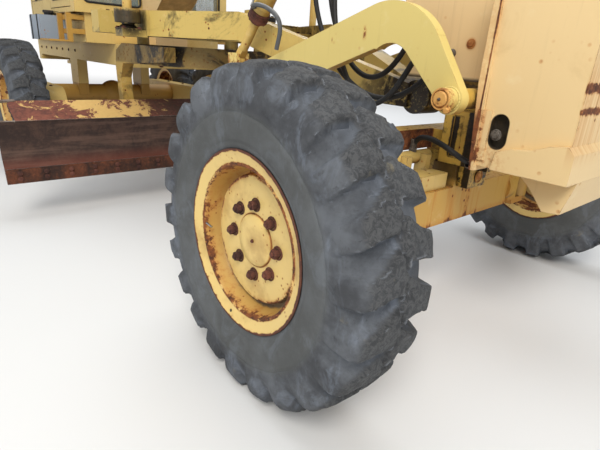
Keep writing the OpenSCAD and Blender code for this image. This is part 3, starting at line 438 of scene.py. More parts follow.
def rim_steel():
    """Rim paint, lighter where it faces the right, which is painted light: rust creeps in from the flange's
    edge and out of the gutter.
    """
    m = Mat("rim_paint")
    grain = m.noise(40, 6, 0.7)
    # painted light: lighter where the rim faces the right and the front
    lit = (m.toward((0.2, -0.9, 0.3)) + m.noise(3, 3) * 0.4).step(-0.2, 1.0)
    radius = wheel_radius(m)
    ragged = radius + (grain - 0.5) * 0.016 + (m.noise(7, 4) - 0.5) * 0.012
    lip = ragged.step(0.2900, 0.2960)
    ridge = ragged.step(0.243, 0.248) * ragged.step(0.262, 0.257)
    gutter = ragged.step(0.212, 0.219) * ragged.step(0.250, 0.244)
    disc_edge = ragged.step(0.198, 0.210) * ragged.step(0.222, 0.216)
    groove = ragged.step(0.210, 0.217) * ragged.step(0.238, 0.231)
    cap = radius.step(0.0865, 0.088) * radius.step(0.0935, 0.0915)
    # darker in hollows and in patches
    darkening = (m.hollow(0.035).step(0.12, 0.7) * 0.6 + m.noise(6, 5).step(0.48, 0.72) * 0.5).clip()
    tone = m.mix(m.mix((168, 120, 46), (228, 198, 124), lit), (150, 102, 40), darkening)
    tone = m.mix(tone, (188, 136, 56), gutter * 0.55)
    worn = (m.edges(0.005) * (grain * 2.0)).step(0.3, 0.65) * m.noise(8, 4).step(0.40, 0.6)
    speck = (0.4 - m.cells(44)).step(0.16, 0.30) * m.noise(11, 3).step(0.42, 0.56)
    patch = m.noise(12, 6, 0.74)
    rust = worn * 0.6 + speck * 0.75 + lip * 1.1 + ridge * patch.step(0.34, 0.50) * 0.95
    rust = rust + gutter * patch.step(0.50, 0.66) * 0.75 + disc_edge * patch.step(0.44, 0.56) * 0.9
    rust = (rust + patch.step(0.64, 0.72) * 0.8 + cap * 0.7).clip()
    tone = m.mix(tone, (186, 118, 54), (rust * 1.2).clip() * 0.75)
    tone = m.mix(tone, m.mix(rust_tone(m, 44), (84, 54, 48), lip * 0.7), rust.step(0.5, 0.95))
    tone = m.mix(tone, (84, 82, 74), groove * m.past("Z", 660, 500) * 0.85)
    normal = m.bump(grain * rust * 1.2 - rust * 0.4, 0.0014, 0.5, after=m.rounded(0.003))
    return m.finish(tone, m.blend(0.45, 0.9, rust), normal)


# Marks of the photograph: each function gives the masks of rust and of grease, the grease in some places
# standing for painted shade

def nose_spots(m, ragged):
    """The right flange and its seam, brown bands and washed-down rust on the front, and painted shade inside
    the cheeks' slots.
    """
    flange = m.span("X", 200, 244) * m.past("Y", -270, -305)
    low = m.past("Z", 1220, 1020, ragged * 0.30)
    strip = m.span("X", 232, 262) * m.span("Z", 790, 985) * m.past("Y", -270, -300)
    seam_line = m.span("X", 236, 243, 2) * m.past("Y", -300, -315)
    front = m.past("X", 566, 573) * m.past("Y", -20, -130)
    wobble = (ragged - 0.5) * 0.034
    bands = m.past("Z", 1068, 1086, wobble) * m.past("Z", 1112, 1096, wobble)
    bands = bands + m.past("Z", 1000, 1014, wobble) * m.past("Z", 1034, 1020, wobble) * 0.9
    wash = m.noise((1, 46, 1.6), 5, 0.7).step(0.34, 0.66) * m.span("Z", 870, 1170, 50)
    lines = m.noise((1, 34, 0.4), 3, 0.7).step(0.60, 0.66) * m.span("Z", 1020, 1180, 20)
    rust = flange * (low * 0.9 + ragged.step(0.35, 0.6) * 0.30) + seam_line * 0.75
    rust = rust + strip * (0.34 + ragged.step(0.46, 0.60) * 0.3)
    rust = rust + front * (bands * 1.1 + wash * 0.46 + lines * 0.45)
    slot = m.near((319, -325, 884), 33, 50) * 0.5
    lip = m.near((300, -325, 800), 20, 100) * ragged.step(0.45, 0.6)
    # painted shade inside the cheeks' round-ended slots, in the grease mask
    along = m.axis("X") - mm("X", 319)
    above = ((m.axis("Z") - 0.9135).math("ABSOLUTE") - 0.0295).math("MAXIMUM", 0.0)
    recess = (along * along + above * above).math("SQRT").step(0.0375, 0.0335)
    recess = recess * m.axis("Y").math("ABSOLUTE").step(0.3248, 0.3238)
    return (rust + slot * ragged.step(0.5, 0.7) + lip * 0.6).clip(), recess * 0.97


def neck_spots(m, ragged):
    bolt = m.near((58, -150, 1218), 12, 30)
    foot = m.past("Z", 1160, 1080) * m.past("X", 60, 220) * 0.5
    # near black on the gooseneck below about 1085 mm, in the gap above the bolster: painted shade, in the
    # grease mask
    return (bolt * 0.8 + foot * ragged.step(0.4, 0.6)).clip(), m.past("Z", 1092, 1078) * 0.9


def bolster_spots(m, ragged):
    beam = m.past("X", -100, -112) * m.past("Z", 875, 860)
    rust = beam * (1.0 - m.toward(Z).step(0.6, 0.9) * ragged.step(0.66, 0.5))
    side = m.toward(-Y).step(0.5, 0.9) * m.past("X", -32, -28)
    wobble = (ragged - 0.5) * 0.016
    first = m.past("X", 6, 12, wobble) * m.past("X", 44, 38, wobble)
    second = m.past("X", 84, 90, wobble)
    # black low down round the axle's pivot: grease, and painted shade
    low = m.past("Z", 800, 720, ragged * 0.1) * ragged.step(0.44, 0.58)
    stain = m.noise(9, 5, 0.7).step(0.52, 0.62)
    grease = side * (m.span("Z", 750, 925) * first + second) + low * 0.8 + stain * 0.7 * (1.0 - beam)
    return rust.clip(), grease.clip() * (1.0 - rust * 0.8)


def axle_spots(m, ragged):
    run = m.noise((6, 14, 1.4), 4, 0.7).step(0.50, 0.66)
    streak = m.span("Y", 45, 80, 12) * ragged.step(0.3, 0.6)
    top = m.toward(Z).step(0.5, 0.9) * ragged.step(0.46, 0.62)
    low = m.past("Z", 505, 470, ragged * 0.06)
    # black on the axle above about 640 mm, round its pivot: grease, and painted shade
    return (run * 0.55 + streak * 0.8 + top * 0.7 + low * 0.5).clip(), m.past("Z", 620, 660) * 0.75


def arm_spots(m, ragged):
    marks = m.span("X", -281, -265, 6) * m.span("Z", 1212, 1262, 12)
    marks = (marks + m.span("X", -468, -462, 4) * m.span("Z", 1196, 1216, 6)) * ragged.step(0.36, 0.56)
    bosses = m.near((172, -470, 1017), 36, 56) + m.near((172, 470, 1017), 36, 56)
    block = m.past("X", -1000, -1060) * ragged.step(0.46, 0.60)
    under = m.toward(-Z).step(0.4, 0.8) * ragged.step(0.5, 0.66) * 0.6
    ring = m.noise(60, 4, 0.7).step(0.38, 0.62)
    return (marks * 0.9 + bosses * ring * 0.8 + block * 0.8 + under).clip(), None


def draw_spots(m, ragged):
    balls = m.near((-1950, -770, 1265), 70, 150) + m.near((-1950, 770, 1265), 70, 150)
    # near black on faces that look down, in patches
    low = m.toward(-Z).step(0.2, 0.7) * 0.8
    stain = m.noise(3.4, 6, 0.7, warp=0.8).step(0.50, 0.62)
    tip = m.near((-230, 0, 980), 100, 250)
    return ragged.step(0.62, 0.7) * 0.5, (balls + low + stain * 0.75 + tip).clip() * ragged.step(0.22, 0.5)


def circle_spots(m, ragged):
    ring = m.axis("Z").step(1.0, 1.02)
    cloud = m.noise(2.6, 6, 0.7, warp=1.0).step(0.44, 0.56)
    grease = (ring * 0.55 + cloud * 0.55).clip() * ragged.step(0.2, 0.45)
    return ragged.step(0.54, 0.66) * (0.4 + ring * 0.4), grease


def rod_spots(m, ragged):
    return None, m.past("Z", 1375, 1345, ragged * 0.05) * 0.95


def boss_spots(m, ragged):
    return m.noise(34, 4, 0.7).step(0.46, 0.64) * 0.75, None


def door_panes(m):
    """The two panes of a door, 6 mm thick, inside its frame."""
    out = m.axis("Y").math("ABSOLUTE")
    layer = out.step(0.6935, 0.6940) * out.step(0.7025, 0.7020)
    high = m.span("Z", 1887, 2729, 0.5) + m.span("Z", 1477, 1815, 0.5)
    return layer * m.span("X", -3853, -3391, 0.5) * high


# Materials by the slot's name
looks = {
    "paint_yellow": paint("yellow_paint", YELLOW_SUN, YELLOW_SHADE, grime=1.1),
    "paint_cream": paint("cream_paint", (236, 206, 152), (206, 162, 92), rust=0.8, grime=0.5, specks=0.8,
                         spots=nose_spots),
    "paint_ochre": paint("ochre_paint", (192, 148, 68), (128, 88, 36), rust=1.4, grime=1.6),
    "paint_grey": paint("grey_paint", (158, 170, 184), (98, 110, 126), rust=0.9, grime=1.2),
    "rusty_steel": rusty("old_steel", (50, 32, 25), (104, 58, 36), (158, 98, 60), bright=0.25),
    "dark_plate": blade_plate(),
    "rod_steel": ground_steel(),
    "tyre_rubber": tyre_rubber(),
    "hose_rubber": dusty_black("smooth_rubber"),
    "black_iron": dusty_black("black_enamel", (26, 24, 22), (70, 62, 52)),
    "black_vinyl": worn_vinyl(),
    "window_glass": window_glass(),
    "lamp_lens": lamp_glass(),
}
# Materials of single nodes: the paint in the sun and in the shade, and how it has worn
OWN_PAINT = {
    "gooseneck": ((234, 203, 150), (186, 142, 66), dict(rust=0.9, specks=0.6, spots=neck_spots)),
    "front_bolster": ((206, 168, 76), (150, 108, 38), dict(rust=1.4, grime=1.6, spots=bolster_spots)),
    "front_axle": ((204, 160, 72), (146, 100, 36), dict(rust=1.5, grime=1.5, spots=axle_spots)),
    "scarifier_arms": ((228, 206, 126), (186, 144, 58), dict(rust=0.7, grime=0.8, specks=0.5, spots=arm_spots)),
    "drawbar": ((210, 182, 102), (150, 112, 46), dict(rust=1.2, grime=1.5, spots=draw_spots)),
    "circle": ((196, 162, 84), (132, 98, 46), dict(rust=1.5, grime=1.8, spots=circle_spots)),
    "scarifier_rod": ((220, 186, 104), (172, 130, 56), dict(rust=0.9, grime=1.1)),
    "lift_rods": ((214, 182, 104), (160, 122, 52), dict(grime=1.4, spots=rod_spots)),
    "steering_cylinder": ((214, 184, 110), (160, 120, 48), dict(rust=1.1, grime=1.6)),
}
node_looks = {}
for own_node, (own_sun, own_shade, own_wear) in OWN_PAINT.items():
    node_looks[own_node] = paint(own_node + "_paint", own_sun, own_shade, **own_wear)
door_paint = paint("door_paint", YELLOW_SUN, YELLOW_SHADE, grime=1.1, panes=door_panes)
node_looks["door_left"] = node_looks["door_right"] = door_paint
yellow, iron, glass_lens = looks["paint_yellow"], looks["black_iron"], looks["lamp_lens"]
rubber, polished = looks["hose_rubber"], looks["rod_steel"]
boss_paint = paint("boss_paint", (226, 172, 96), (186, 120, 58), rust=1.6, grime=0.9, bleach_and_light=0.2,
                   spots=boss_spots)
rim_paint = rim_steel()
grease = greasy()
rust_orange = rusty("rust_orange", (142, 84, 40), (206, 142, 74), (228, 182, 116))
rust_nut = rusty("rust_nut", (64, 38, 32), (112, 66, 52), (160, 112, 86))
dirty_steel = rusty("dirty_steel", (70, 62, 54), (120, 112, 102), (158, 148, 134), bright=0.4)
bright_edge = rusty("bright_edge", (104, 88, 78), (150, 138, 128), (190, 180, 170), bright=0.8)
red_lens = dusty_black("red_lens", (120, 14, 10), (170, 40, 30))
grey_hose = dusty_black("grey_hose", (88, 90, 92), (150, 152, 154))

slots = {part["node"]: part["material_slot"] for part in frame["record"]["subparts"]}
for node_name, node_obj in nodes.items():
    for holder in node_obj.material_slots:
        holder.material = node_looks.get(node_name, looks[slots[node_name]])


# Mesh builder

def pointing(where, toward, spin=0.0):
    """A matrix whose own Z points toward a direction."""
    turn = Vector(toward).normalized().to_track_quat("Z", "Y").to_matrix().to_4x4()
    return Matrix.Translation(Vector(where)) @ turn @ Matrix.Rotation(spin, 4, "Z")


def around(count, radius, start=0.0, extra=0):
    """Points evenly on a circle, and extra ones that go on past its start."""
    angles = [i * TAU / count + start for i in range(count + extra)]
    return [(radius * math.cos(angle), radius * math.sin(angle)) for angle in angles]


def bezier(points, t):
    while len(points) > 1:
        points = [a.lerp(b, t) for a, b in zip(points, points[1:])]
    return points[0]


def curve(corners, steps):
    return [bezier(corners, i / steps) for i in range(steps + 1)]


class Build:
    """Collects shapes into one mesh object that rides on a body. Corners, paths and outlines are places in
    metres; profiles, radii, bevels and bolts are in millimetres."""

    def __init__(self, name, material, slot, smooth, body="chassis", replaces=None):
        self.name, self.material, self.slot = name, material, slot
        self.smooth, self.body, self.replaces = smooth, body, replaces
        self.bm = bmesh.new()

    def take(self, shape, place=None):
        """Adds a bmesh, moved by the matrix place."""
        if place is not None:
            bmesh.ops.transform(shape, matrix=place, verts=shape.verts)
        mesh = bpy.data.meshes.new("shape")
        shape.to_mesh(mesh)
        shape.free()
        self.bm.from_mesh(mesh)
        bpy.data.meshes.remove(mesh)

    def box(self, corner, other, bevel, place=None):
        """A box between two opposite corners."""
        corner, other = Vector(corner), Vector(other)
        size = Vector(abs(length) for length in other - corner)
        shape = bmesh.new()
        bmesh.ops.create_cube(shape, size=1)
        bmesh.ops.scale(shape, vec=size, verts=shape.verts)
        bmesh.ops.translate(shape, vec=(corner + other) / 2, verts=shape.verts)
        if bevel:
            bmesh.ops.bevel(shape, geom=shape.edges[:], offset=min(bevel / 1000, 0.4 * min(size)), segments=2,
                            profile=0.6, affect="EDGES")
        self.take(shape, place)

    def prism(self, outline, low, high, bevel, along, place=None):
        """A closed outline in the other two axes, run from low to high along one axis."""
        shape = bmesh.new()
        order = {"X": (2, 0, 1), "Y": (0, 2, 1), "Z": (0, 1, 2)}[along]
        spots = [(a, b, low) for a, b in outline]
        face = shape.faces.new([shape.verts.new([spot[i] for i in order]) for spot in spots])
        grown = bmesh.ops.extrude_face_region(shape, geom=[face])["geom"]
        moved = [v for v in grown if isinstance(v, bmesh.types.BMVert)]
        bmesh.ops.translate(shape, vec=[(0, 0, high - low)[i] for i in order], verts=moved)
        bmesh.ops.recalc_face_normals(shape, faces=shape.faces[:])
        if bevel:
            sharp = [e for e in shape.edges if e.calc_face_angle(0) > 0.35]
            bmesh.ops.bevel(shape, geom=sharp, offset=bevel / 1000, segments=2, profile=0.6, affect="EDGES",
                            clamp_overlap=True)
        self.take(shape, place)

    def lathe(self, profile, sides, place, closed=False):
        """A profile of (radius, height) points turned about local Z."""
        shape = bmesh.new()
        rings = []
        for radius, height in profile:
            spots = around(sides, radius / 1000) if radius > 0 else [(0, 0)]
            rings.append([shape.verts.new((x, y, height / 1000)) for x, y in spots])
        pairs = list(zip(rings, rings[1:])) + ([(rings[-1], rings[0])] if closed else [])
        for a, b in pairs:
            for i in range(sides if len(a) + len(b) > 2 else 0):
                j = (i + 1) % sides
                corners = [a[i % len(a)], a[j % len(a)], b[j % len(b)], b[i % len(b)]]
                shape.faces.new(list(dict.fromkeys(corners)))
        bmesh.ops.recalc_face_normals(shape, faces=shape.faces[:])
        self.take(shape, place)

    def tube(self, path, radius, sides, ends=True):
        """A round bar or hose along points; radius may be one number or one for each point."""
        radii = radius if isinstance(radius, list) else [radius] * len(path)
        shape = bmesh.new()
        side = (path[1] - path[0]).orthogonal().normalized()
        rings = []
        for i, point in enumerate(path):
            ahead = (path[min(i + 1, len(path) - 1)] - path[max(i - 1, 0)]).normalized()
            side = (side - ahead * side.dot(ahead)).normalized()
            up = ahead.cross(side)
            spots = around(sides, radii[i] / 1000)
            rings.append([shape.verts.new(point + across * side + rise * up) for across, rise in spots])
        for a, b in zip(rings, rings[1:]):
            for k in range(sides):
                shape.faces.new((a[k], a[(k + 1) % sides], b[(k + 1) % sides], b[k]))
        if ends:
            shape.faces.new(rings[0][::-1])
            shape.faces.new(rings[-1])
        bmesh.ops.recalc_face_normals(shape, faces=shape.faces[:])
        self.take(shape)

    def bolt(self, where, toward, size=11, head=9, washer=True):
        """A hexagon head with a washer, standing on the surface at where, at a random turn."""
        place = pointing(where, toward, random.uniform(0, 1))
        if washer:
            self.lathe([(0, 2.5), (size * 1.45, 2.5), (size * 1.5, 1), (size * 1.5, -2)], 20, place)
        self.lathe([(0, head), (size * 0.81, head), (size, head - 1.5), (size, 0)], 6, place)

    def weld(self, path, radius):
        """A weld bead along a path: a bar whose thickness ripples."""
        points = []
        for a, b in zip(path, path[1:]):
            count = max(2, int((b - a).length / 0.012))
            points += [a.lerp(b, i / count) for i in range(count)]
        points.append(path[-1])
        self.tube(points, [radius * (0.86 + 0.24 * math.sin(i * 2.1)) for i in range(len(points))], 7)

    def done(self):
        mesh = bpy.data.meshes.new(self.name)
        self.bm.to_mesh(mesh)
        self.bm.free()
        mesh.polygons.foreach_set("use_smooth", [True] * len(mesh.polygons))
        mesh.set_sharp_from_angle(angle=math.radians(self.smooth))
        mesh.materials.append(self.material)
        obj = bpy.data.objects.new(self.name, mesh)
        scene.collection.objects.link(obj)
        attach(obj, self.body)
        if self.replaces:
            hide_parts(self.replaces)
        return obj


def bolts(name, spots, toward, size=11, head=9, body="chassis", material=rust_nut, slot="rusty_steel"):
    heads = Build(name, material, slot, 30, body)
    for spot in spots:
        heads.bolt(at(*spot), toward, size, head)
    heads.done()


# Wheels

LUGS, STEPS_PER_LUG = 22, 20
TREAD_RADIUS, TREAD_HALF = 0.56, 0.15
HOLE_TURN = math.radians(258)             # where the flange has its small hole, about the wheel's own axis
# Rows across half of the tyre in millimetres: y and radius of the groove's floor, then y and radius of a lug
TREAD_ROWS = [
    (0, 527, 0, 560), (12, 527, 12, 560), (24, 526.5, 24, 559.8), (37, 526, 37, 559.5), (50, 525, 50, 559),
    (64, 523.5, 65, 558.2), (78, 521.5, 80, 557.2), (91, 518.5, 94, 555.6), (102, 514.5, 106, 553.5),
    (111, 509.5, 117, 550), (118, 503.5, 126, 544.5), (124, 496.5, 133, 536.5), (129, 488.5, 138.5, 526),
    (132.5, 480, 143, 514), (135.5, 471, 146.5, 501), (138, 462, 149, 488), (140, 453, 150, 476),
    (141.8, 444.5, 149.8, 465), (143.2, 437, 148, 454.5), (144.2, 429, 146.2, 444), (145, 421.5, 145.4, 430),
    (145.5, 415, 145.5, 419), (143.6, 412.8, 143.6, 414), (143.6, 411.2, 143.6, 411.8),
]
# Below the lugs: y and radius, down the sidewall to the bead
WALL_ROWS = [
    (145.8, 409), (146.8, 398), (146.8, 383), (145.5, 366), (143, 350), (139.5, 336), (136.2, 326.5),
    (133.6, 323.5), (133.8, 319), (131.2, 311), (127, 305), (122.5, 300.5), (115, 276), (112, 264),
]
RIM_FRONT = [
    (262, 113), (292, 122.5), (300, 125), (302, 127.5), (301.5, 130), (298.5, 131.5), (295.5, 130.8),
    (290, 128.4), (260, 116), (258, 115.8), (256, 117.6), (253, 118.6), (250, 117.8), (248, 115), (246.5, 108),
    (244, 90), (240, 65), (234, 50), (226, 45), (219, 46), (216.8, 52), (215.5, 64), (212.5, 69.5), (206, 71),
    (160, 70.3), (120, 70), (96, 70), (92.5, 69.5), (90.5, 67.5), (89, 67.5), (87.2, 73.5), (84, 76.5),
    (60, 79), (30, 80), (0, 80),
]
RIM_BACK = [
    (262, -113), (292, -122.5), (302, -127), (300, -131), (290, -129), (270, -118), (250, -120), (250, 20),
    (214, 36), (96, 50), (96, -60), (45.5, -60),
]
NUT_SEAT = [(23, 0), (23, 3), (21, 4.5), (18.5, 4.5)]
NUT = [(17.2, 3), (17.2, 19), (15, 22.5), (8.5, 22.5)]
STUD = [(8.8, 20), (8.8, 27), (7, 29), (0, 29)]
HUB_PLUG = [(6, 0), (6, 3), (4, 6), (0, 6.5)]


def smooth_step(value, low, high):
    t = min(1.0, max(0.0, (value - low) / (high - low)))
    return t * t * (3 - 2 * t)


def lug_height(turn, y):
    """How far a place on the tread rises from the groove floor to the lug's top, 0 to 1."""
    best = 0.0
    for side, phase in ((1, 0.25), (-1, 0.75)):
        out = side * y / TREAD_HALF
        if out < -0.25:
            continue
        lean = (7 - 6 * min(1.0, max(0.0, out)) ** 0.8) / 360 * LUGS
        off = abs((turn * LUGS / TAU - lean - phase + 0.5) % 1 - 0.5)
        half = 0.275 + 0.115 * (1 - smooth_step(out, 0.10, 0.60))
        best = max(best, smooth_step(half + 0.035 - off, 0.0, 0.075) * smooth_step(out, -0.17, -0.08))
    # the thin channel where the two halves meet
    zigzag = abs(((turn * LUGS / TAU) % 1) - 0.5) * 2
    channel = 1 - smooth_step(abs(y - 0.022 * (zigzag - 0.5)), 0.003, 0.009)
    return best * (1 - 0.55 * channel)


def tyre_shape():
    """The tyre about local Z, with lean lugs, worn tops and chips out of the rubber."""
    rows = [[value / 1000 for value in row] for row in TREAD_ROWS + [row + row for row in WALL_ROWS]]
    rows = [(-floor_y, floor_r, -lug_y, lug_r) for floor_y, floor_r, lug_y, lug_r in reversed(rows)] + rows[1:]
    steps = LUGS * STEPS_PER_LUG
    shape = bmesh.new()
    grid = []
    for i in range(steps):
        turn = i * TAU / steps
        column = []
        for floor_y, floor_r, lug_y, lug_r in rows:
            rise = lug_height(turn, lug_y)
            spot = Vector((math.cos(turn) * 0.5, math.sin(turn) * 0.5, lug_y))
            wear = noise.noise(spot * 9) * 0.004 + noise.noise(spot * 34) * 0.002
            chip = max(0.0, noise.noise(spot * 23 + Vector((3, 1, 7))) - 0.28) * 0.030 * rise
            radius = floor_r + (lug_r - floor_r) * rise
            radius += wear - 0.003 - chip if floor_r > 0.43 else wear * 0.2
            radius = min(radius, TREAD_RADIUS)
            y = floor_y + (lug_y - floor_y) * rise
            column.append(shape.verts.new((radius * math.cos(turn), radius * math.sin(turn), y)))
        grid.append(column)
    for a, b in zip(grid, grid[1:] + grid[:1]):
        for k in range(len(rows)):
            n = (k + 1) % len(rows)
            shape.faces.new((a[k], b[k], b[n], a[n]))
    bmesh.ops.recalc_face_normals(shape, faces=shape.faces[:])
    return shape


NUTS, NUT_CIRCLE, DISC_FACE, HUB_FACE = 8, 0.122, 0.0695, 0.081


def make_nuts(name, body, place):
    nuts = Build("rim_%s_nuts" % name, rust_nut, "rusty_steel", 30, body)
    for i, (x, y) in enumerate(around(NUTS, NUT_CIRCLE)):
        spot = place @ Matrix.Translation((x, y, DISC_FACE))
        nuts.lathe(NUT_SEAT, 24, spot)
        nuts.lathe(NUT, 6, spot @ Matrix.Rotation(i * 0.7, 4, "Z"))
        nuts.lathe(STUD, 12, spot)
    nuts.lathe(HUB_PLUG, 12, place @ Matrix.Translation((0, 0, HUB_FACE)))
    nuts.done()


def make_wheel(name, body, place, tread, spin):
    tyre = Build("tyre_%s_tread" % name, looks["tyre_rubber"], "tyre_rubber", 60, body, "tyre_" + name)
    tyre.take(tread.copy(), place @ Matrix.Rotation(spin, 4, "Z"))
    tyre.done()
    rim = Build("rim_%s_steel" % name, rim_paint, "paint_yellow", 40, body, "rim_" + name)
    rim.lathe(RIM_FRONT, 112, place)
    rim.lathe(RIM_BACK, 96, place)
    rim.lathe([(262, 113), (262, -113)], 96, place)
    rim.done()
    make_nuts(name, body, place)
    stem = Build("rim_%s_valve" % name, polished, "rod_steel", 40, body)
    path = [place @ Vector((-0.247 + 0.013 * t, -0.010 - 0.001 * t, 0.1085 + 0.0005 * t)) for t in range(4)]
    stem.tube(path, [5.2, 4, 3.6, 4.2], 10)
    stem.done()
    hole = Build("rim_%s_hole" % name, grease, "rusty_steel", 40, body)
    across, up = math.cos(HOLE_TURN), math.sin(HOLE_TURN)
    where = place @ Vector((0.279 * across, 0.279 * up, 0.124))
    hole.lathe([(0, 0.8), (4.2, 0.8), (5.6, 0)], 14,
               pointing(where, place.to_3x3() @ Vector((-0.36 * across, -0.36 * up, 0.93))))
    hole.done()


def make_wheels():
    tread = tyre_shape()
    wheels = [(axle, side) for axle in AXLES for side in SIDES]
    for k, (axle, side) in enumerate(wheels):
        name = axle + "_" + side_name(side)
        place = Matrix.Translation(at(AXLES[axle], side * WHEEL_Y, AXLE_HEIGHT))
        place = place @ Matrix.Rotation(math.radians(-90 * side), 4, "X")
        make_wheel(name, "wheel_" + name, place, tread, k * 3 * TAU / LUGS)
    tread.free()


# Hoses

def hose_loop(x0, z0, low, x1, z1, y):
    """The corners of a hose that hangs from the post and rises to the gooseneck's side."""
    return route((x0, -150.3, z0), (x0, y, z0), (x0, y, low), (x1 + 200, y, low), (x1, y, z1), (x1, -150.3, z1))


HOSES = [
    hose_loop(-20, 1180, 765, -860, 1595, -313),
    hose_loop(-110, 1240, 690, -680, 1585, -354),
    hose_loop(-180, 1290, 850, -760, 1590, -284),
    route((150, -110.3, 740), (150, -190, 740), (60, -250, 840), (-100, -215, 880), (-100, -215, 760.3)),
]
FERRULE = [(0, 0), (17.5, 0), (17.5, 11), (14.5, 13), (14.5, 18), (16.5, 20), (16.5, 50), (15, 52), (12.2, 53)]


def make_hoses():
    hoses = Build("hose_sweeps", rubber, "hose_rubber", 60, replaces="hoses")
    ends = Build("hose_ends", dirty_steel, "rod_steel", 30)
    for corners in HOSES:
        path = curve(corners, 60)
        hoses.tube(path, 12, 16)
        for here, ahead in ((path[0], path[1]), (path[-1], path[-2])):
            ends.lathe(FERRULE, 12, pointing(here, ahead - here))
    hoses.done()
    ends.done()


# Front end

ARM_PIN_X, ARM_PIN_Z = 172, 1017
KINGPIN_CAP = [(0, 6.5), (20, 6.5), (24, 4.5), (25.5, 0)]
ARM_PIN = [(39.5, 0), (39.5, 3), (37.5, 5), (32.5, 5), (31, 1.5), (28.5, 1.5), (27, 7.5), (24.5, 9.5), (6, 9.5),
           (5.5, 11), (0, 11)]
AXLE_PIVOT = [(0, 6), (18, 6), (20, 3), (24, 3), (26, 7), (29, 7), (30, 0)]
HEADLAMP_RIM = [(70.5, -20), (73.5, -18), (74, 18), (71.5, 22.2), (65, 22.2), (63, 17)]
ROOF_LAMP_RIM = [(60, -12), (65, -10), (66, 8), (63, 12.2), (56, 12.2)]


def make_arm_ends():
    """Pins, lock bolts, grease points and welds of the scarifier arms."""
    pins = Build("arm_pin_faces", boss_paint, "rusty_steel", 35, "scarifier_body")
    nipples = Build("arm_pin_nipples", dirty_steel, "rod_steel", 40, "scarifier_body")
    welds = Build("arm_welds", node_looks["scarifier_arms"], "paint_yellow", 60, "scarifier_body")
    for side in SIDES:
        pins.lathe(ARM_PIN, 48, pointing(at(ARM_PIN_X, side * 480, ARM_PIN_Z), side * Y))
        lock = pointing(at(199, side * 474, 984), (0.25, side, -0.3), 0.4)
        pins.lathe([(0, 16), (10, 16), (11.5, 14), (11.5, 0)], 6, lock)
        pins.lathe([(15, 0), (15, 3), (11.5, 4)], 20, lock)
        nipples.lathe([(5, 0), (5, 4), (2.8, 5), (3.4, 9), (0, 10.5)], 10,
                      pointing(at(ARM_PIN_X, side * 490.5, ARM_PIN_Z), side * Y))
        ring = [(ARM_PIN_X + x, side * 426, ARM_PIN_Z + z) for x, z in around(28, 42, extra=1)]
        welds.weld(route(*ring), 4.5)
        for x in (-1246, -1054):
            welds.weld(route((x, side * 376, 922), (x, side * 424, 922)), 5)
    for build in (pins, nipples, welds):
        build.done()


def make_front_bolts():
    for name, y in (("neck_bolt", -150), ("neck_bolt_left", 150)):
        bolts(name, [(58, y, 1218)], (0, y, 0), 13, 7, material=rust_orange)
    # seen in the slots of the nose's cheeks
    for side in SIDES:
        bolts("cheek_bolt_" + side_name(side), [(312, side * 300.5, 902)], side * Y, 14, 12,
              material=dirty_steel, slot="rod_steel")
    flange = [(211.5, side * 285, z) for side in SIDES for z in (1130, 1260, 1390)]
    bolts("flange_bolts", flange, -X, 12, 10, material=rust_orange)


def dome(radius, top, depth, steps):
    """Profile of a lens, from its middle to its rim."""
    angles = [i * math.pi / 2 / steps for i in range(steps, -1, -1)]
    return [(radius * math.sin(a), top - depth * (1 - math.cos(a))) for a in angles]


def make_lamps():
    rims = Build("lamp_rims", iron, "black_iron", 35)
    lenses = Build("lamp_glasses", glass_lens, "lamp_lens", 40)
    for side in SIDES:
        nose = pointing(at(597.5, side * 190, 1290), X)
        rims.lathe(HEADLAMP_RIM, 48, nose)
        lenses.lathe(dome(63, 22.5, 14, 10), 48, nose)
        roof = pointing(at(-3155, side * 600, 2938.7), X)
        rims.lathe(ROOF_LAMP_RIM, 36, roof)
        lenses.lathe(dome(56, 12, 8, 8), 36, roof)
    rims.done()
    lenses.done()


def make_axle_trim():
    """The steering ram's gland and port, caps of the kingpins and of the axle's pivot."""
    ram = Build("ram_fittings", dirty_steel, "rod_steel", 35)
    ram.lathe([(16.2, -4), (30, -4), (33, 0), (33, 6), (36.2, 8), (36.2, 26), (30, 28)], 32,
              pointing(at(-100, -463, 730), Y))
    ram.lathe([(0, 0), (19, 0), (19, 10), (16.5, 12), (16.5, 26), (14, 28)], 6,
              pointing(at(-100, -215, 756), Z))
    ram.done()
    caps = Build("kingpin_caps", rust_orange, "rusty_steel", 35)
    pivots = Build("axle_pivot_faces", rust_orange, "rusty_steel", 35)
    for side in SIDES:
        caps.lathe(KINGPIN_CAP, 36, pointing(at(0, side * 720, 707), Z))
        pivots.lathe(AXLE_PIVOT, 36, pointing(at(side * 121, 0, 665), side * X))
    caps.done()
    pivots.done()


def make_frame_welds():
    """Beads along the upper and the lower edge of the gooseneck's sides."""
    beads = Build("frame_welds", node_looks["gooseneck"], "paint_yellow", 60)
    upper = ((210, 1472), (-160, 1741), (-520, 1861), (-2500, 1921), (-3008, 1881))
    lower = ((-232, 1250), (-302, 1420), (-622, 1540), (-2650, 1600), (-2950, 1382))
    for side in SIDES:
        for corners in (upper, lower):
            beads.weld(route(*((x, side * 151, z) for x, z in corners)), 5)
    beads.done()


# Blade, circle and drawbar

EDGE_BOLTS, BLADE_HALF = 20, 1450


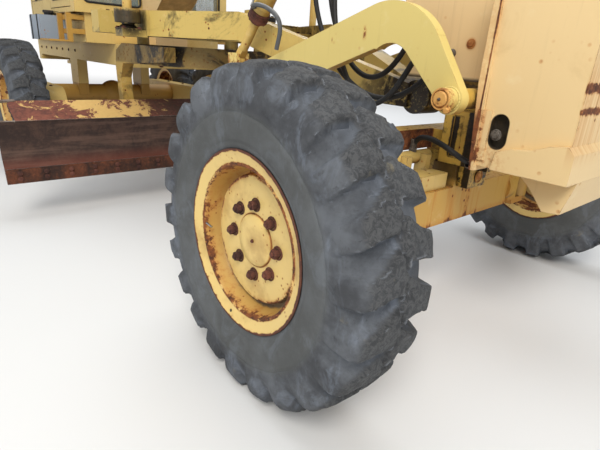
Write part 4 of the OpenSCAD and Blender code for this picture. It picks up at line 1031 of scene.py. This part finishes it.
def make_blade():
    heads = Build("edge_bolts", rust_nut, "rusty_steel", 40, "board_body")
    for i in range(EDGE_BOLTS):
        y = -BLADE_HALF + i * 2 * BLADE_HALF / (EDGE_BOLTS - 1)
        for z in (290, 325):
            heads.lathe([(0, 3.5), (12, 3), (16, 0)], 20, pointing(at(-2146, y, z), X))
            heads.lathe([(0, 20), (10, 20), (12.5, 18), (12.5, 0)], 6, pointing(at(-2194, y, z), -X, i * 0.8))
    heads.done()
    # the worn strip along the board's top edge and the bent bar at its right end
    lip = Build("board_top_wear", bright_edge, "dark_plate", 60, "board_body")
    path = [at(-2174, -1523 + i * 3046 / 90, 648.5 + 1.2 * math.sin(i * 1.3)) for i in range(91)]
    lip.tube(path, [4.2 + 1.2 * math.sin(i * 2.7) for i in range(91)], 8)
    bar = route((-2190, -1512, 662), (-2230, -1513, 690), (-2300, -1513, 720), (-2370, -1513, 742),
                (-2398, -1502, 745), (-2400, -1460, 745), (-2395, -1380, 745))
    lip.tube(curve(bar, 24), 10, 12)
    lip.done()
    bolts("slide_bolts", [(-2382, y, 700) for y in (-380, -300, 300, 380)], (-1, 0, 0.3), 13, 11, "board_body")


BALL_X, BALL_Y = -1950, 770          # lift balls, below the lift cylinders
DRIVE_X, CIRCLE_X = -1660, -2150
BALL_CAP = [(50, 0), (54, 6), (46, 16), (34, 22), (27, 30), (0, 30)]
DRIVE_FLANGE = [(129, -30), (133.5, -28), (133.5, -6), (128, 0), (98, 2), (92, 0)]
DRIVE_HUB = [(80, 0), (83.5, 3), (83.5, 12), (79, 15), (79, 33), (68, 37.5), (0, 37.5)]


def make_drawbar():
    plates = Build("drawbar_plates", node_looks["drawbar"], "paint_yellow", 32, "drawbar_body")
    joints = Build("drawbar_joints", grease, "rusty_steel", 40, "drawbar_body")
    beads = Build("drawbar_welds", node_looks["drawbar"], "paint_yellow", 60, "drawbar_body")
    heads = []
    for side in SIDES:
        y = side * BALL_Y
        plates.box(at(BALL_X - 62, y - 62, 1222), at(BALL_X + 62, y + 62, 1229), 3)
        joints.lathe(BALL_CAP, 36, pointing(at(BALL_X, y, 1229), Z))
        heads += [(BALL_X + dx, y + dy, 1229) for dx in (-48, 48) for dy in (-48, 48)]
        heads += [(x, side * out, 1280) for x in (-1690, -1590) for out in (200, 320, 440)]
        heads += [(-2350, side * out, 1340) for out in (300, 450, 600, 750)]
        for out in (562, 678):
            beads.weld(route((-2022, side * out, 1341), (-2022, side * out, 1196)), 5)
        beads.weld(route((-1878, side * 560, 1341), (-1878, side * 120, 1341)), 5)
    bolts("drawbar_bolts", heads, Z, 12, 10, "drawbar_body")
    for build in (plates, joints, beads):
        build.done()
    drive = Build("circle_drive", iron, "black_iron", 35, "drawbar_body")
    drive.lathe(DRIVE_FLANGE, 48, pointing(at(DRIVE_X, 0, 1360), Z))
    drive.lathe(DRIVE_HUB, 40, pointing(at(DRIVE_X, 0, 1360), Z))
    for x, y in around(10, 112):
        drive.bolt(at(DRIVE_X + x, y, 1360.5), Z, 10, 9)
    drive.done()


CIRCLE_TEETH = 72
GEAR_TOOTH = [(0.5015, -0.013), (0.5015, 0.013), (0.480, 0.007), (0.478, 0.0), (0.480, -0.007)]


def make_circle():
    """Gear teeth inside the ring, and the bolts below it."""
    teeth = Build("circle_teeth", dirty_steel, "paint_yellow", 30, "circle_body")
    for i in range(CIRCLE_TEETH):
        turn = Matrix.Rotation(i * TAU / CIRCLE_TEETH, 4, "Z")
        teeth.prism(GEAR_TOOTH, 0, 0.062, 0, "Z", Matrix.Translation(at(CIRCLE_X, 0, 1012)) @ turn)
    teeth.done()
    bolts("circle_bolts", [(CIRCLE_X + x, y, 1010) for x, y in around(8, 575, 0.3)], -Z, 13, 10, "circle_body")


SCARIFIER_TEETH, TOOTH_PITCH = 9, 86.75
LIFT_GLAND = [(29, -4), (50, -4), (55.5, 0), (61, 2), (62, 10), (62, 40), (58.5, 42)]
LIFT_CAP = [(58, 0), (61, 2), (61, 18), (50, 22), (0, 22)]


def make_tooth_tips():
    tips = Build("tooth_tips", bright_edge, "rusty_steel", 30, "scarifier_body")
    for i in range(SCARIFIER_TEETH):
        y = (i - SCARIFIER_TEETH // 2) * TOOTH_PITCH
        tips.box(at(-1122, y - 19, 700), at(-1112, y + 19, 716), 3)
    tips.done()


def make_lift_glands():
    glands = Build("cylinder_glands", dirty_steel, "rod_steel", 35, "lift_barrels")
    for side in SIDES:
        glands.lathe(LIFT_GLAND, 40, pointing(at(BALL_X, side * BALL_Y, 1624), Z))
        glands.lathe(LIFT_CAP, 40, pointing(at(BALL_X, side * BALL_Y, 2160), Z))
    glands.done()


# Scarifier cylinder

RAM_EYE = [(16.5, -34), (32, -34), (34, -31), (34, 31), (32, 34), (16.5, 34)]
RAM_BARREL = [(24, 30), (33, 32), (34, 50), (45, 54), (48, 60), (48, 372), (45.5, 378), (25, 378)]
RAM_BAND = [(47.5, 0), (50.5, 2), (50.5, 16), (47.5, 18)]
RAM_GLAND = [(25, 372), (50, 372), (53.5, 376), (53.5, 388), (50, 391), (50, 400), (54, 403), (54, 420),
             (50, 424), (36, 426), (33, 440), (25, 441)]
RAM_PORT = [(0, 24), (9, 24), (12, 21), (12, 8), (15.5, 7), (15.5, 0)]
# down the barrel and out from it, in metres
RAM_LINE = [(0.350, -0.066), (0.335, -0.078), (0.300, -0.064), (0.140, -0.062), (0.100, -0.078),
            (0.085, -0.066)]


def make_scarifier_ram():
    """The ram's barrel, which ends in a rusty gland above the bare rod, with its ports, line and hose end."""
    down = Vector((-0.638755, 0, -0.76941))
    top = at(-720, -465, 1620)
    turn = pointing(top, down)
    body = "scarifier_barrel"
    barrel = Build("scarifier_barrel_tube", node_looks["scarifier_rod"], "paint_yellow", 40, body,
                   "scarifier_cylinder")
    barrel.lathe(RAM_EYE, 36, pointing(top, Y), True)
    barrel.lathe(RAM_BARREL, 40, turn)
    for z in (0.110, 0.330):
        barrel.lathe(RAM_BAND, 40, turn @ Matrix.Translation((0, 0, z)), True)
    barrel.done()
    gland = Build("scarifier_gland", rust_nut, "rusty_steel", 35, body)
    gland.lathe(RAM_GLAND, 40, turn)
    for x, y in around(6, 0.043):
        gland.bolt(turn @ Vector((x, y, 0.425)), down, 7, 6, False)
    gland.done()
    port = Build("scarifier_ports", dirty_steel, "rod_steel", 35, body)
    for z in (0.085, 0.350):
        port.lathe(RAM_PORT, 6, pointing(turn @ Vector((0, 0, z)) - 0.046 * Y, -Y))
    port.done()
    line = Build("scarifier_line", polished, "rod_steel", 60, body)
    line.tube(curve([turn @ Vector((0, 0, z)) + y * Y for z, y in RAM_LINE], 24), 5, 10)
    line.done()
    stub = Build("hose_stub_grey", grey_hose, "hose_rubber", 60, body)
    corners = route((-955, -515, 1345), (-905, -560, 1370), (-790, -500, 1345), (-705, -492, 1290),
                    (-765, -492, 1230), (-782, -492, 1153))
    stub.tube(curve(corners, 40), 11, 14)
    stub.done()


# Seat and console

PAD_CUTS, PAD_PINCH, PAD_CROWN, PAD_POWER = 30, 0.02, 0.022, 7


def pad_shape(half, channels):
    """A crowned pad about its middle with a flat underside: sides pulled in, sewn channels across."""
    shape = bmesh.new()
    bmesh.ops.create_cube(shape, size=2)
    bmesh.ops.subdivide_edges(shape, edges=shape.edges[:], cuts=PAD_CUTS, use_grid_fill=True)
    for v in shape.verts:
        reach = max(abs(part) for part in v.co)
        norm = sum(abs(part) ** PAD_POWER for part in v.co) ** (1 / PAD_POWER)
        x, y, z = (part * reach / norm for part in v.co)
        sides_in = 1 - PAD_PINCH * (1 - y * y) * (1 - abs(z))
        front_in = 1 - PAD_PINCH * (1 - x * x) * (1 - abs(z))
        lift = PAD_CROWN * (1 - x * x) * (1 - y * y) - PAD_CROWN
        for channel in channels:
            lift -= 0.010 * math.exp(-((y - channel) / 0.035) ** 2) * (1 - 0.4 * abs(x))
        v.co = Vector((x * sides_in * half.x, y * front_in * half.y, z * half.z + lift * max(0.0, z)))
    bmesh.ops.recalc_face_normals(shape, faces=shape.faces[:])
    return shape


def ring_path(centre, u, v, half_u, half_v, corner):
    """A closed rectangle with round corners, in the plane of u and v."""
    steps = 5
    points = []
    for su, sv, start in ((1, 1, 0), (-1, 1, 90), (-1, -1, 180), (1, -1, 270)):
        for i in range(steps + 1):
            angle = math.radians(start + 90 * i / steps)
            out_u = su * (half_u - corner) + corner * math.cos(angle)
            out_v = sv * (half_v - corner) + corner * math.sin(angle)
            points.append(centre + u * out_u + v * out_v)
    return points + points[:2]


def make_seat():
    # each pad's name, corners, turn that brings its crown up, and the places of its channels
    upright = Matrix(((0, 0, 1, 0), (0, 1, 0, 0), (-1, 0, 0, 0), (0, 0, 0, 1)))
    pads = [("seat_cushion", at(-4080, -240, 1730.5), at(-3610, 240, 1840), Matrix.Identity(4), (0.66, 0.22)),
            ("seat_back", at(-4140, -230, 1822), at(-4010, 230, 2380), upright, (0.62, 0.2))]
    for name, low, high, turn, (outer, inner) in pads:
        span = high - low
        half = (Vector((span.z, span.y, span.x)) if turn == upright else span) / 2
        place = Matrix.Translation((low + high) / 2) @ turn
        pad = Build(name, looks["black_vinyl"], "black_vinyl", 70, replaces="seat")
        pad.take(pad_shape(half, (-outer, -inner, inner, outer)), place)
        pad.done()
        edge = Build(name + "_piping", rubber, "black_vinyl", 60)
        path = ring_path(Z * (half.z * 0.24), X, Y, half.x - 0.005, half.y - 0.005, 0.05)
        edge.tube([place @ point for point in path], 4, 8, ends=False)
        edge.done()
    base = Build("seat_base", looks["paint_grey"], "paint_grey", 32)
    base.box(at(-4000, -160, 1400.5), at(-3690, 160, 1425), 6)
    for i in range(7):
        inset = 14 if i % 2 else 0
        low, high = 1425 + i * 36, 1461 + i * 36
        base.box(at(-3980 + inset, -140 + inset, low), at(-3710 - inset, 140 - inset, high), 8)
    base.box(at(-4030, -190, 1677), at(-3650, 190, 1729), 12)
    base.done()


WHEEL_RIM = 0.19
WHEEL_HUB = [(0, 14), (30, 12), (42, 4), (44, -10), (30, -28), (24, -120)]
KNOB = [(0, 36), (10, 34), (16.5, 24), (16.5, 14), (9, 2), (6, -6)]
GAITER = [(18, 0), (16, 10), (8, 20)]


def make_steering_wheel():
    wheel = Build("steering_wheel", rubber, "hose_rubber", 60)
    turn = pointing(at(-3476, 0, 2112), (-0.4226, 0, 0.9063))
    rim = [turn @ Vector((x, y, 0)) for x, y in around(64, WHEEL_RIM, extra=2)]
    wheel.tube(rim, [13.5 + 0.8 * math.sin(i * TAU / 64 * 24) for i in range(len(rim))], 12, ends=False)
    for angle in (90, 210, 330):
        c, s = math.cos(math.radians(angle)), math.sin(math.radians(angle))
        spoke = [turn @ Vector((c * r, s * r, -0.02 * (1 - r / WHEEL_RIM))) for r in (0.02, 0.07, 0.12, 0.185)]
        wheel.tube(spoke, [13, 10, 9, 9], 10)
    wheel.lathe(WHEEL_HUB, 32, turn)
    wheel.done()


def make_console():
    stand = Build("console_stand", looks["paint_grey"], "paint_grey", 32, replaces="console")
    outline = ((-3410, 1400.5), (-3320, 1400.5), (-3360, 2020), (-3450, 2000))
    stand.prism([(mm("X", x), mm("Z", z)) for x, z in outline], -0.13, 0.13, 12, "Y")
    stand.done()
    make_steering_wheel()
    levers = Build("console_levers", dirty_steel, "rusty_steel", 40)
    knobs = Build("console_knobs", rubber, "hose_rubber", 60)
    for y in (-100, -60, 60, 100):
        levers.tube(route((-3390, y, 2000), (-3390, y, 2089), (-3390, y, 2178)), [6.5, 6, 5.5], 10)
        knobs.lathe(KNOB, 20, Matrix.Translation(at(-3390, y, 2168)))
        knobs.lathe(GAITER, 16, Matrix.Translation(at(-3390, y, 2010)))
    levers.done()
    knobs.done()


# Cab

CAB_SIDE, SEAL_GAP = 721, 0.006


def seal_path(plane, value, wide, high):
    """A path round an opening: the plane's axis and place, then the opening's two ranges."""
    across, up = sum(wide) / 2, sum(high) / 2
    centre, sideways = (at(value, across, up), Y) if plane == "X" else (at(across, value, up), X)
    half_wide, half_high = ((ends[1] - ends[0]) / 2000 + SEAL_GAP for ends in (wide, high))
    return ring_path(centre, sideways, Z, half_wide, half_high, 0.03)


def make_windows():
    seals = Build("window_seals", rubber, "hose_rubber", 60)
    openings = [("X", -3209, (-630, 630), (1880, 2810)), ("X", -3209, (-630, -170), (1450, 1790)),
                ("X", -3209, (170, 630), (1450, 1790)), ("X", -4211, (-610, 610), (2120, 2810)),
                ("Y", CAB_SIDE, (-4150, -3994), (2120, 2800)), ("Y", -CAB_SIDE, (-4150, -3994), (2120, 2800))]
    for opening in openings:
        seals.tube(seal_path(*opening), 9, 10, ends=False)
    seals.done()
    wiper = Build("wiper", iron, "black_iron", 40)
    wiper.lathe([(0, 24), (14, 24), (18, 18), (18, 0)], 20, pointing(at(-3210, 60, 2835), X))
    wiper.tube(route((-3192, 60, 2835), (-3196, 20, 2640), (-3200, -40, 2430)), [5, 4, 3], 8)
    wiper.box(at(-3207, -48, 2180), at(-3199, -36, 2640), 2)
    wiper.done()


def make_doors():
    for side in SIDES:
        name = "door_" + side_name(side)
        seals = Build(name + "_seals", rubber, "hose_rubber", 60, name + "_body")
        for high in ((1886, 2730), (1476, 1816)):
            seals.tube(seal_path("Y", side * CAB_SIDE, (-3848, -3390), high), 8, 10, ends=False)
        seals.done()
        handle = Build(name + "_handle", dirty_steel, "rod_steel", 40, name + "_body")
        handle.box(at(-3376, side * 720, 1842), at(-3334, side * 728, 1872), 3)
        grip = route((-3355, side * 726, 1857), (-3355, side * 746, 1857), (-3372, side * 750, 1857),
                     (-3450, side * 750, 1857))
        handle.tube(grip, [8, 8, 8, 7], 10)
        handle.done()


def make_cab_trim():
    roof = Build("roof_trim", yellow, "paint_yellow", 32)
    for y in (-0.5, -0.25, 0, 0.25, 0.5):
        outline = [(y - 0.03, 3.029), (y - 0.02, 3.036), (y + 0.02, 3.036), (y + 0.03, 3.029)]
        roof.prism(outline, mm("X", -4150), mm("X", -3250), 2, "X")
    roof.done()
    heads = Build("cab_bolts", rust_nut, "rusty_steel", 30)
    rails = Build("grab_rails", iron, "black_iron", 50)
    mirrors = Build("mirror_glasses", glass_lens, "lamp_lens", 32)
    for side in SIDES:
        for x in (-4170, -3980):
            for z in (1500, 1800, 2060):
                heads.bolt(at(x, side * CAB_SIDE, z), side * Y, 10, 8)
        rail = ((720, 1700), (752, 1700), (775, 1730), (775, 2350), (760, 2380), (720, 2380))
        rails.tube(route(*((-3250, side * out, z) for out, z in rail)), 11, 12)
        mirrors.box(at(-3213, side * 858, 2708), at(-3209, side * 1012, 3012), 3)
    for build in (heads, rails, mirrors):
        build.done()


# Hood, rear end and underside

HOOD_SIDE, HOOD_BOLT_Y = 450.5, 425.93


def make_hood():
    lines = Build("hood_shut_lines", grease, "black_iron", 60)
    slats = Build("hood_slats", yellow, "paint_yellow", 32)
    metal = Build("hood_fasteners", dirty_steel, "rod_steel", 35)
    for side in SIDES:
        y = side * HOOD_SIDE
        for x in (-4560, -5250, -5900):
            lines.tube(route((x, y, 1150), (x, y, 2000)), 2.2, 6)
        for z in (1150, 1560, 1985):
            lines.tube(route((-5900, y, z), (-4300, y, z)), 2.2, 6)
        low, high = sorted((side * 0.424, side * 0.448))
        for x in range(-4670, -5210, -90):
            for z in range(1612, 1864, 42):
                corners = ((low, z), (high, z - 12), (high, z - 6), (low, z + 8))
                outline = [(edge, mm("Z", height)) for edge, height in corners]
                slats.prism(outline, mm("X", x - 20), mm("X", x + 20), 1, "X")
        for x in (-4700, -5100, -5400, -5760):
            metal.box(at(x - 30, y, 1950), at(x + 30, y + side * 10, 1972), 4)
            foot, top = y + side * 6, y + side * 22
            handle = route((x - 22, foot, 1940), (x - 22, top, 1932), (x + 22, top, 1932), (x + 22, foot, 1940))
            metal.tube(handle, 5, 8)
        for x in (-4420, -5050, -5650):
            hinge = Matrix.Translation(at(x, y + side * 4, 1575)) @ Matrix.Rotation(math.pi / 2, 4, "Y")
            metal.lathe([(12, -45), (12, 45)], 14, hinge)
    for build in (lines, slats, metal):
        build.done()
    heads = [(x, side * HOOD_BOLT_Y, 2020.5) for side in SIDES for x in range(-5900, -4280, 180)]
    bolts("hood_bolts", heads, Z, 10, 8)
    core = Build("radiator_core", grease, "black_iron", 40)
    core.box(at(-5930, -372, 1208), at(-5905, 372, 1932), 4)
    for i in range(60):
        y = -366 + i * 12.4
        core.box(at(-5934, y, 1212), at(-5929, y + 2.5, 1928), 0)
    core.done()


def make_exhaust():
    """Bands on the muffler and the tail pipe's lip; bands and ribs of the air cleaner."""
    stack = Build("exhaust_trim", looks["rusty_steel"], "rusty_steel", 40)
    for z, radius in ((2024, 79), (2110, 77.2), (2360, 77.2), (2436, 79)):
        profile = [(radius - 6, 0), (radius, 1), (radius, 12), (radius - 6, 13)]
        stack.lathe(profile, 40, Matrix.Translation(at(-4970, 200, z)), True)
    stack.lathe([(36.5, -60), (41, -58), (41, -3), (36.5, -1)], 32, Matrix.Translation(at(-4970, 200, 2938)))
    stack.done()
    bowl = Build("pre_cleaner_trim", iron, "black_iron", 40)
    for z in (2262, 2330, 2410):
        bowl.lathe([(99, 0), (107, 2), (107, 10), (99, 12)], 44, Matrix.Translation(at(-5390, -200, z)), True)
    for i in range(30):
        rib = Matrix.Translation(at(-5390, -200, 2345)) @ Matrix.Rotation(i * TAU / 30, 4, "Z")
        bowl.box((-0.002, 0.1035, 0), (0.002, 0.107, 0.055), 0, rib)
    bowl.done()


def make_tanks():
    """Straps and filler caps, step studs, tail lamps."""
    straps = Build("tank_straps", iron, "black_iron", 32)
    studs = Build("step_treads", dirty_steel, "paint_ochre", 30)
    lens = Build("tail_lenses", red_lens, "lamp_lens", 32)
    filler = [(34, 0), (36, 4), (36, 16), (45, 18), (45, 36), (40, 40), (0, 40)]
    for side in SIDES:
        for x in (-4110, -3880):
            straps.box(at(x - 16, side * 638, 1340), at(x + 16, side * 863, 1343.5), 1)
            straps.box(at(x - 16, side * 860, 1128), at(x + 16, side * 863.5, 1343.5), 1)
        straps.lathe(filler, 28, Matrix.Translation(at(-3840, side * 770, 1340)))
        for x in range(-3520, -3260, 26):
            for y in (780, 830, 880):
                studs.lathe([(0, 2), (7, 1.8), (9, 0)], 10, Matrix.Translation(at(x, side * y, 1350)))
        lens.box(at(-6101, side * 275, 1078), at(-6097.5, side * 375, 1142), 1.5)
    for build in (straps, studs, lens):
        build.done()


def make_tandem():
    """Covers of the tandem cases, and the bolts on them and on the rear axle's housing."""
    cover = Build("tandem_covers", yellow, "paint_yellow", 32)
    heads = Build("tandem_bolts", rust_nut, "rusty_steel", 30)
    for side in SIDES:
        for x, radius in ((-4560, 130), (-4250, 85), (-4870, 85)):
            profile = [(0, 8), (radius - 20, 8), (radius - 12, 6), (radius, 6), (radius, 0)]
            cover.lathe(profile, 40, pointing(at(x, side * 880, AXLE_HEIGHT), side * Y))
            for dx, dz in around(8, radius - 12):
                heads.bolt(at(x + dx, side * 886, AXLE_HEIGHT + dz), side * Y, 8, 6, False)
        for x in (-5150, -4750, -4350, -3970):
            heads.bolt(at(x, side * 795, 710), Z, 12, 10)
    for y, dz in around(12, 92):
        heads.bolt(at(-4680, y, 580 + dz), -X, 10, 14, False)
    cover.done()
    heads.done()


def make_frame_bolts():
    heads = Build("rail_bolts", rust_nut, "rusty_steel", 30)
    for side in SIDES:
        for x in range(-5900, -4300, 240):
            heads.bolt(at(x, side * 400, 1040), side * Y)
    heads.done()
    saddle = [(x, side * y, 2010) for side in SIDES for y in (300, 480, 640) for x in (-2050, -1890)]
    bolts("saddle_bolts", saddle, Z, 12, 10)


for make in (make_wheels, make_hoses, make_arm_ends, make_front_bolts, make_lamps, make_axle_trim,
             make_frame_welds, make_blade, make_drawbar, make_circle, make_tooth_tips, make_lift_glands,
             make_scarifier_ram, make_seat, make_console, make_windows, make_doors, make_cab_trim, make_hood,
             make_exhaust, make_tanks, make_tandem, make_frame_bolts):
    make()


# Light and floor

LAMPS = (
    # name, place, what it points at, size, watts, colour
    ("key", (4200, -5200, 6800), (-600, 0, 900), 3.6, 560, (1.0, 0.96, 0.90)),
    ("sky", (-2600, 0, 8200), (-2600, 0, 0), 7.0, 330, (0.93, 0.97, 1.0)),
    ("back", (-7600, 6200, 5200), (-3000, 0, 1200), 4.0, 200, (0.95, 0.97, 1.0)),
)
MIDDLE = (-1000 * FRONT_AXLE_X, 0, 0)     # the frame's own origin
FLOOR_HALF = 60                           # metres
FLOOR_FAR = (228.5, 228.5, 227.9)         # its colour away from the machine


def make_world():
    """A white backdrop for the camera and a soft sky for the light."""
    world = bpy.data.worlds.new("world")
    scene.world = world
    world.use_nodes = True
    tree = world.node_tree
    soft, seen = tree.nodes["Background"], tree.nodes.new("ShaderNodeBackground")
    for background, colour, strength in ((soft, (0.95, 0.975, 1.0, 1), 0.50), (seen, (1, 1, 1, 1), 1.0)):
        background.inputs[0].default_value = colour
        background.inputs[1].default_value = strength
    paths, blend = tree.nodes.new("ShaderNodeLightPath"), tree.nodes.new("ShaderNodeMixShader")
    tree.links.new(paths.outputs["Is Camera Ray"], blend.inputs[0])
    tree.links.new(soft.outputs[0], blend.inputs[1])
    tree.links.new(seen.outputs[0], blend.inputs[2])
    tree.links.new(blend.outputs[0], tree.nodes["World Output"].inputs[0])


def make_lights():
    for name, place, aim, width, watts, colour in LAMPS:
        data = bpy.data.lights.new(name, "AREA")
        data.size, data.energy, data.color = width, watts, colour
        lamp = bpy.data.objects.new(name, data)
        scene.collection.objects.link(lamp)
        turn = (at(*aim) - at(*place)).to_track_quat("-Z", "Y").to_matrix().to_4x4()
        lamp.matrix_world = Matrix.Translation(at(*place)) @ turn


def make_floor():
    """A floor that glows white near the machine and is plain far off."""
    mesh = bpy.data.meshes.new("floor")
    corners = [(x * FLOOR_HALF, y * FLOOR_HALF, 0) for x, y in ((-1, -1), (1, -1), (1, 1), (-1, 1))]
    mesh.from_pydata(corners, [], [(0, 1, 2, 3)])
    floor = bpy.data.objects.new("floor", mesh)
    scene.collection.objects.link(floor)
    m = Mat("floor_paper")
    away = m.near(MIDDLE, 6000, 16000)
    m.put(m.shader.inputs["Emission Color"], m.mix((255, 255, 255), (0, 0, 0), away))
    m.finish(m.mix((0, 0, 0), FLOOR_FAR, away), 0.95, Specular_IOR_Level=0.0, Emission_Strength=1.0)
    mesh.materials.append(m.data)


make_world()
make_lights()
make_floor()
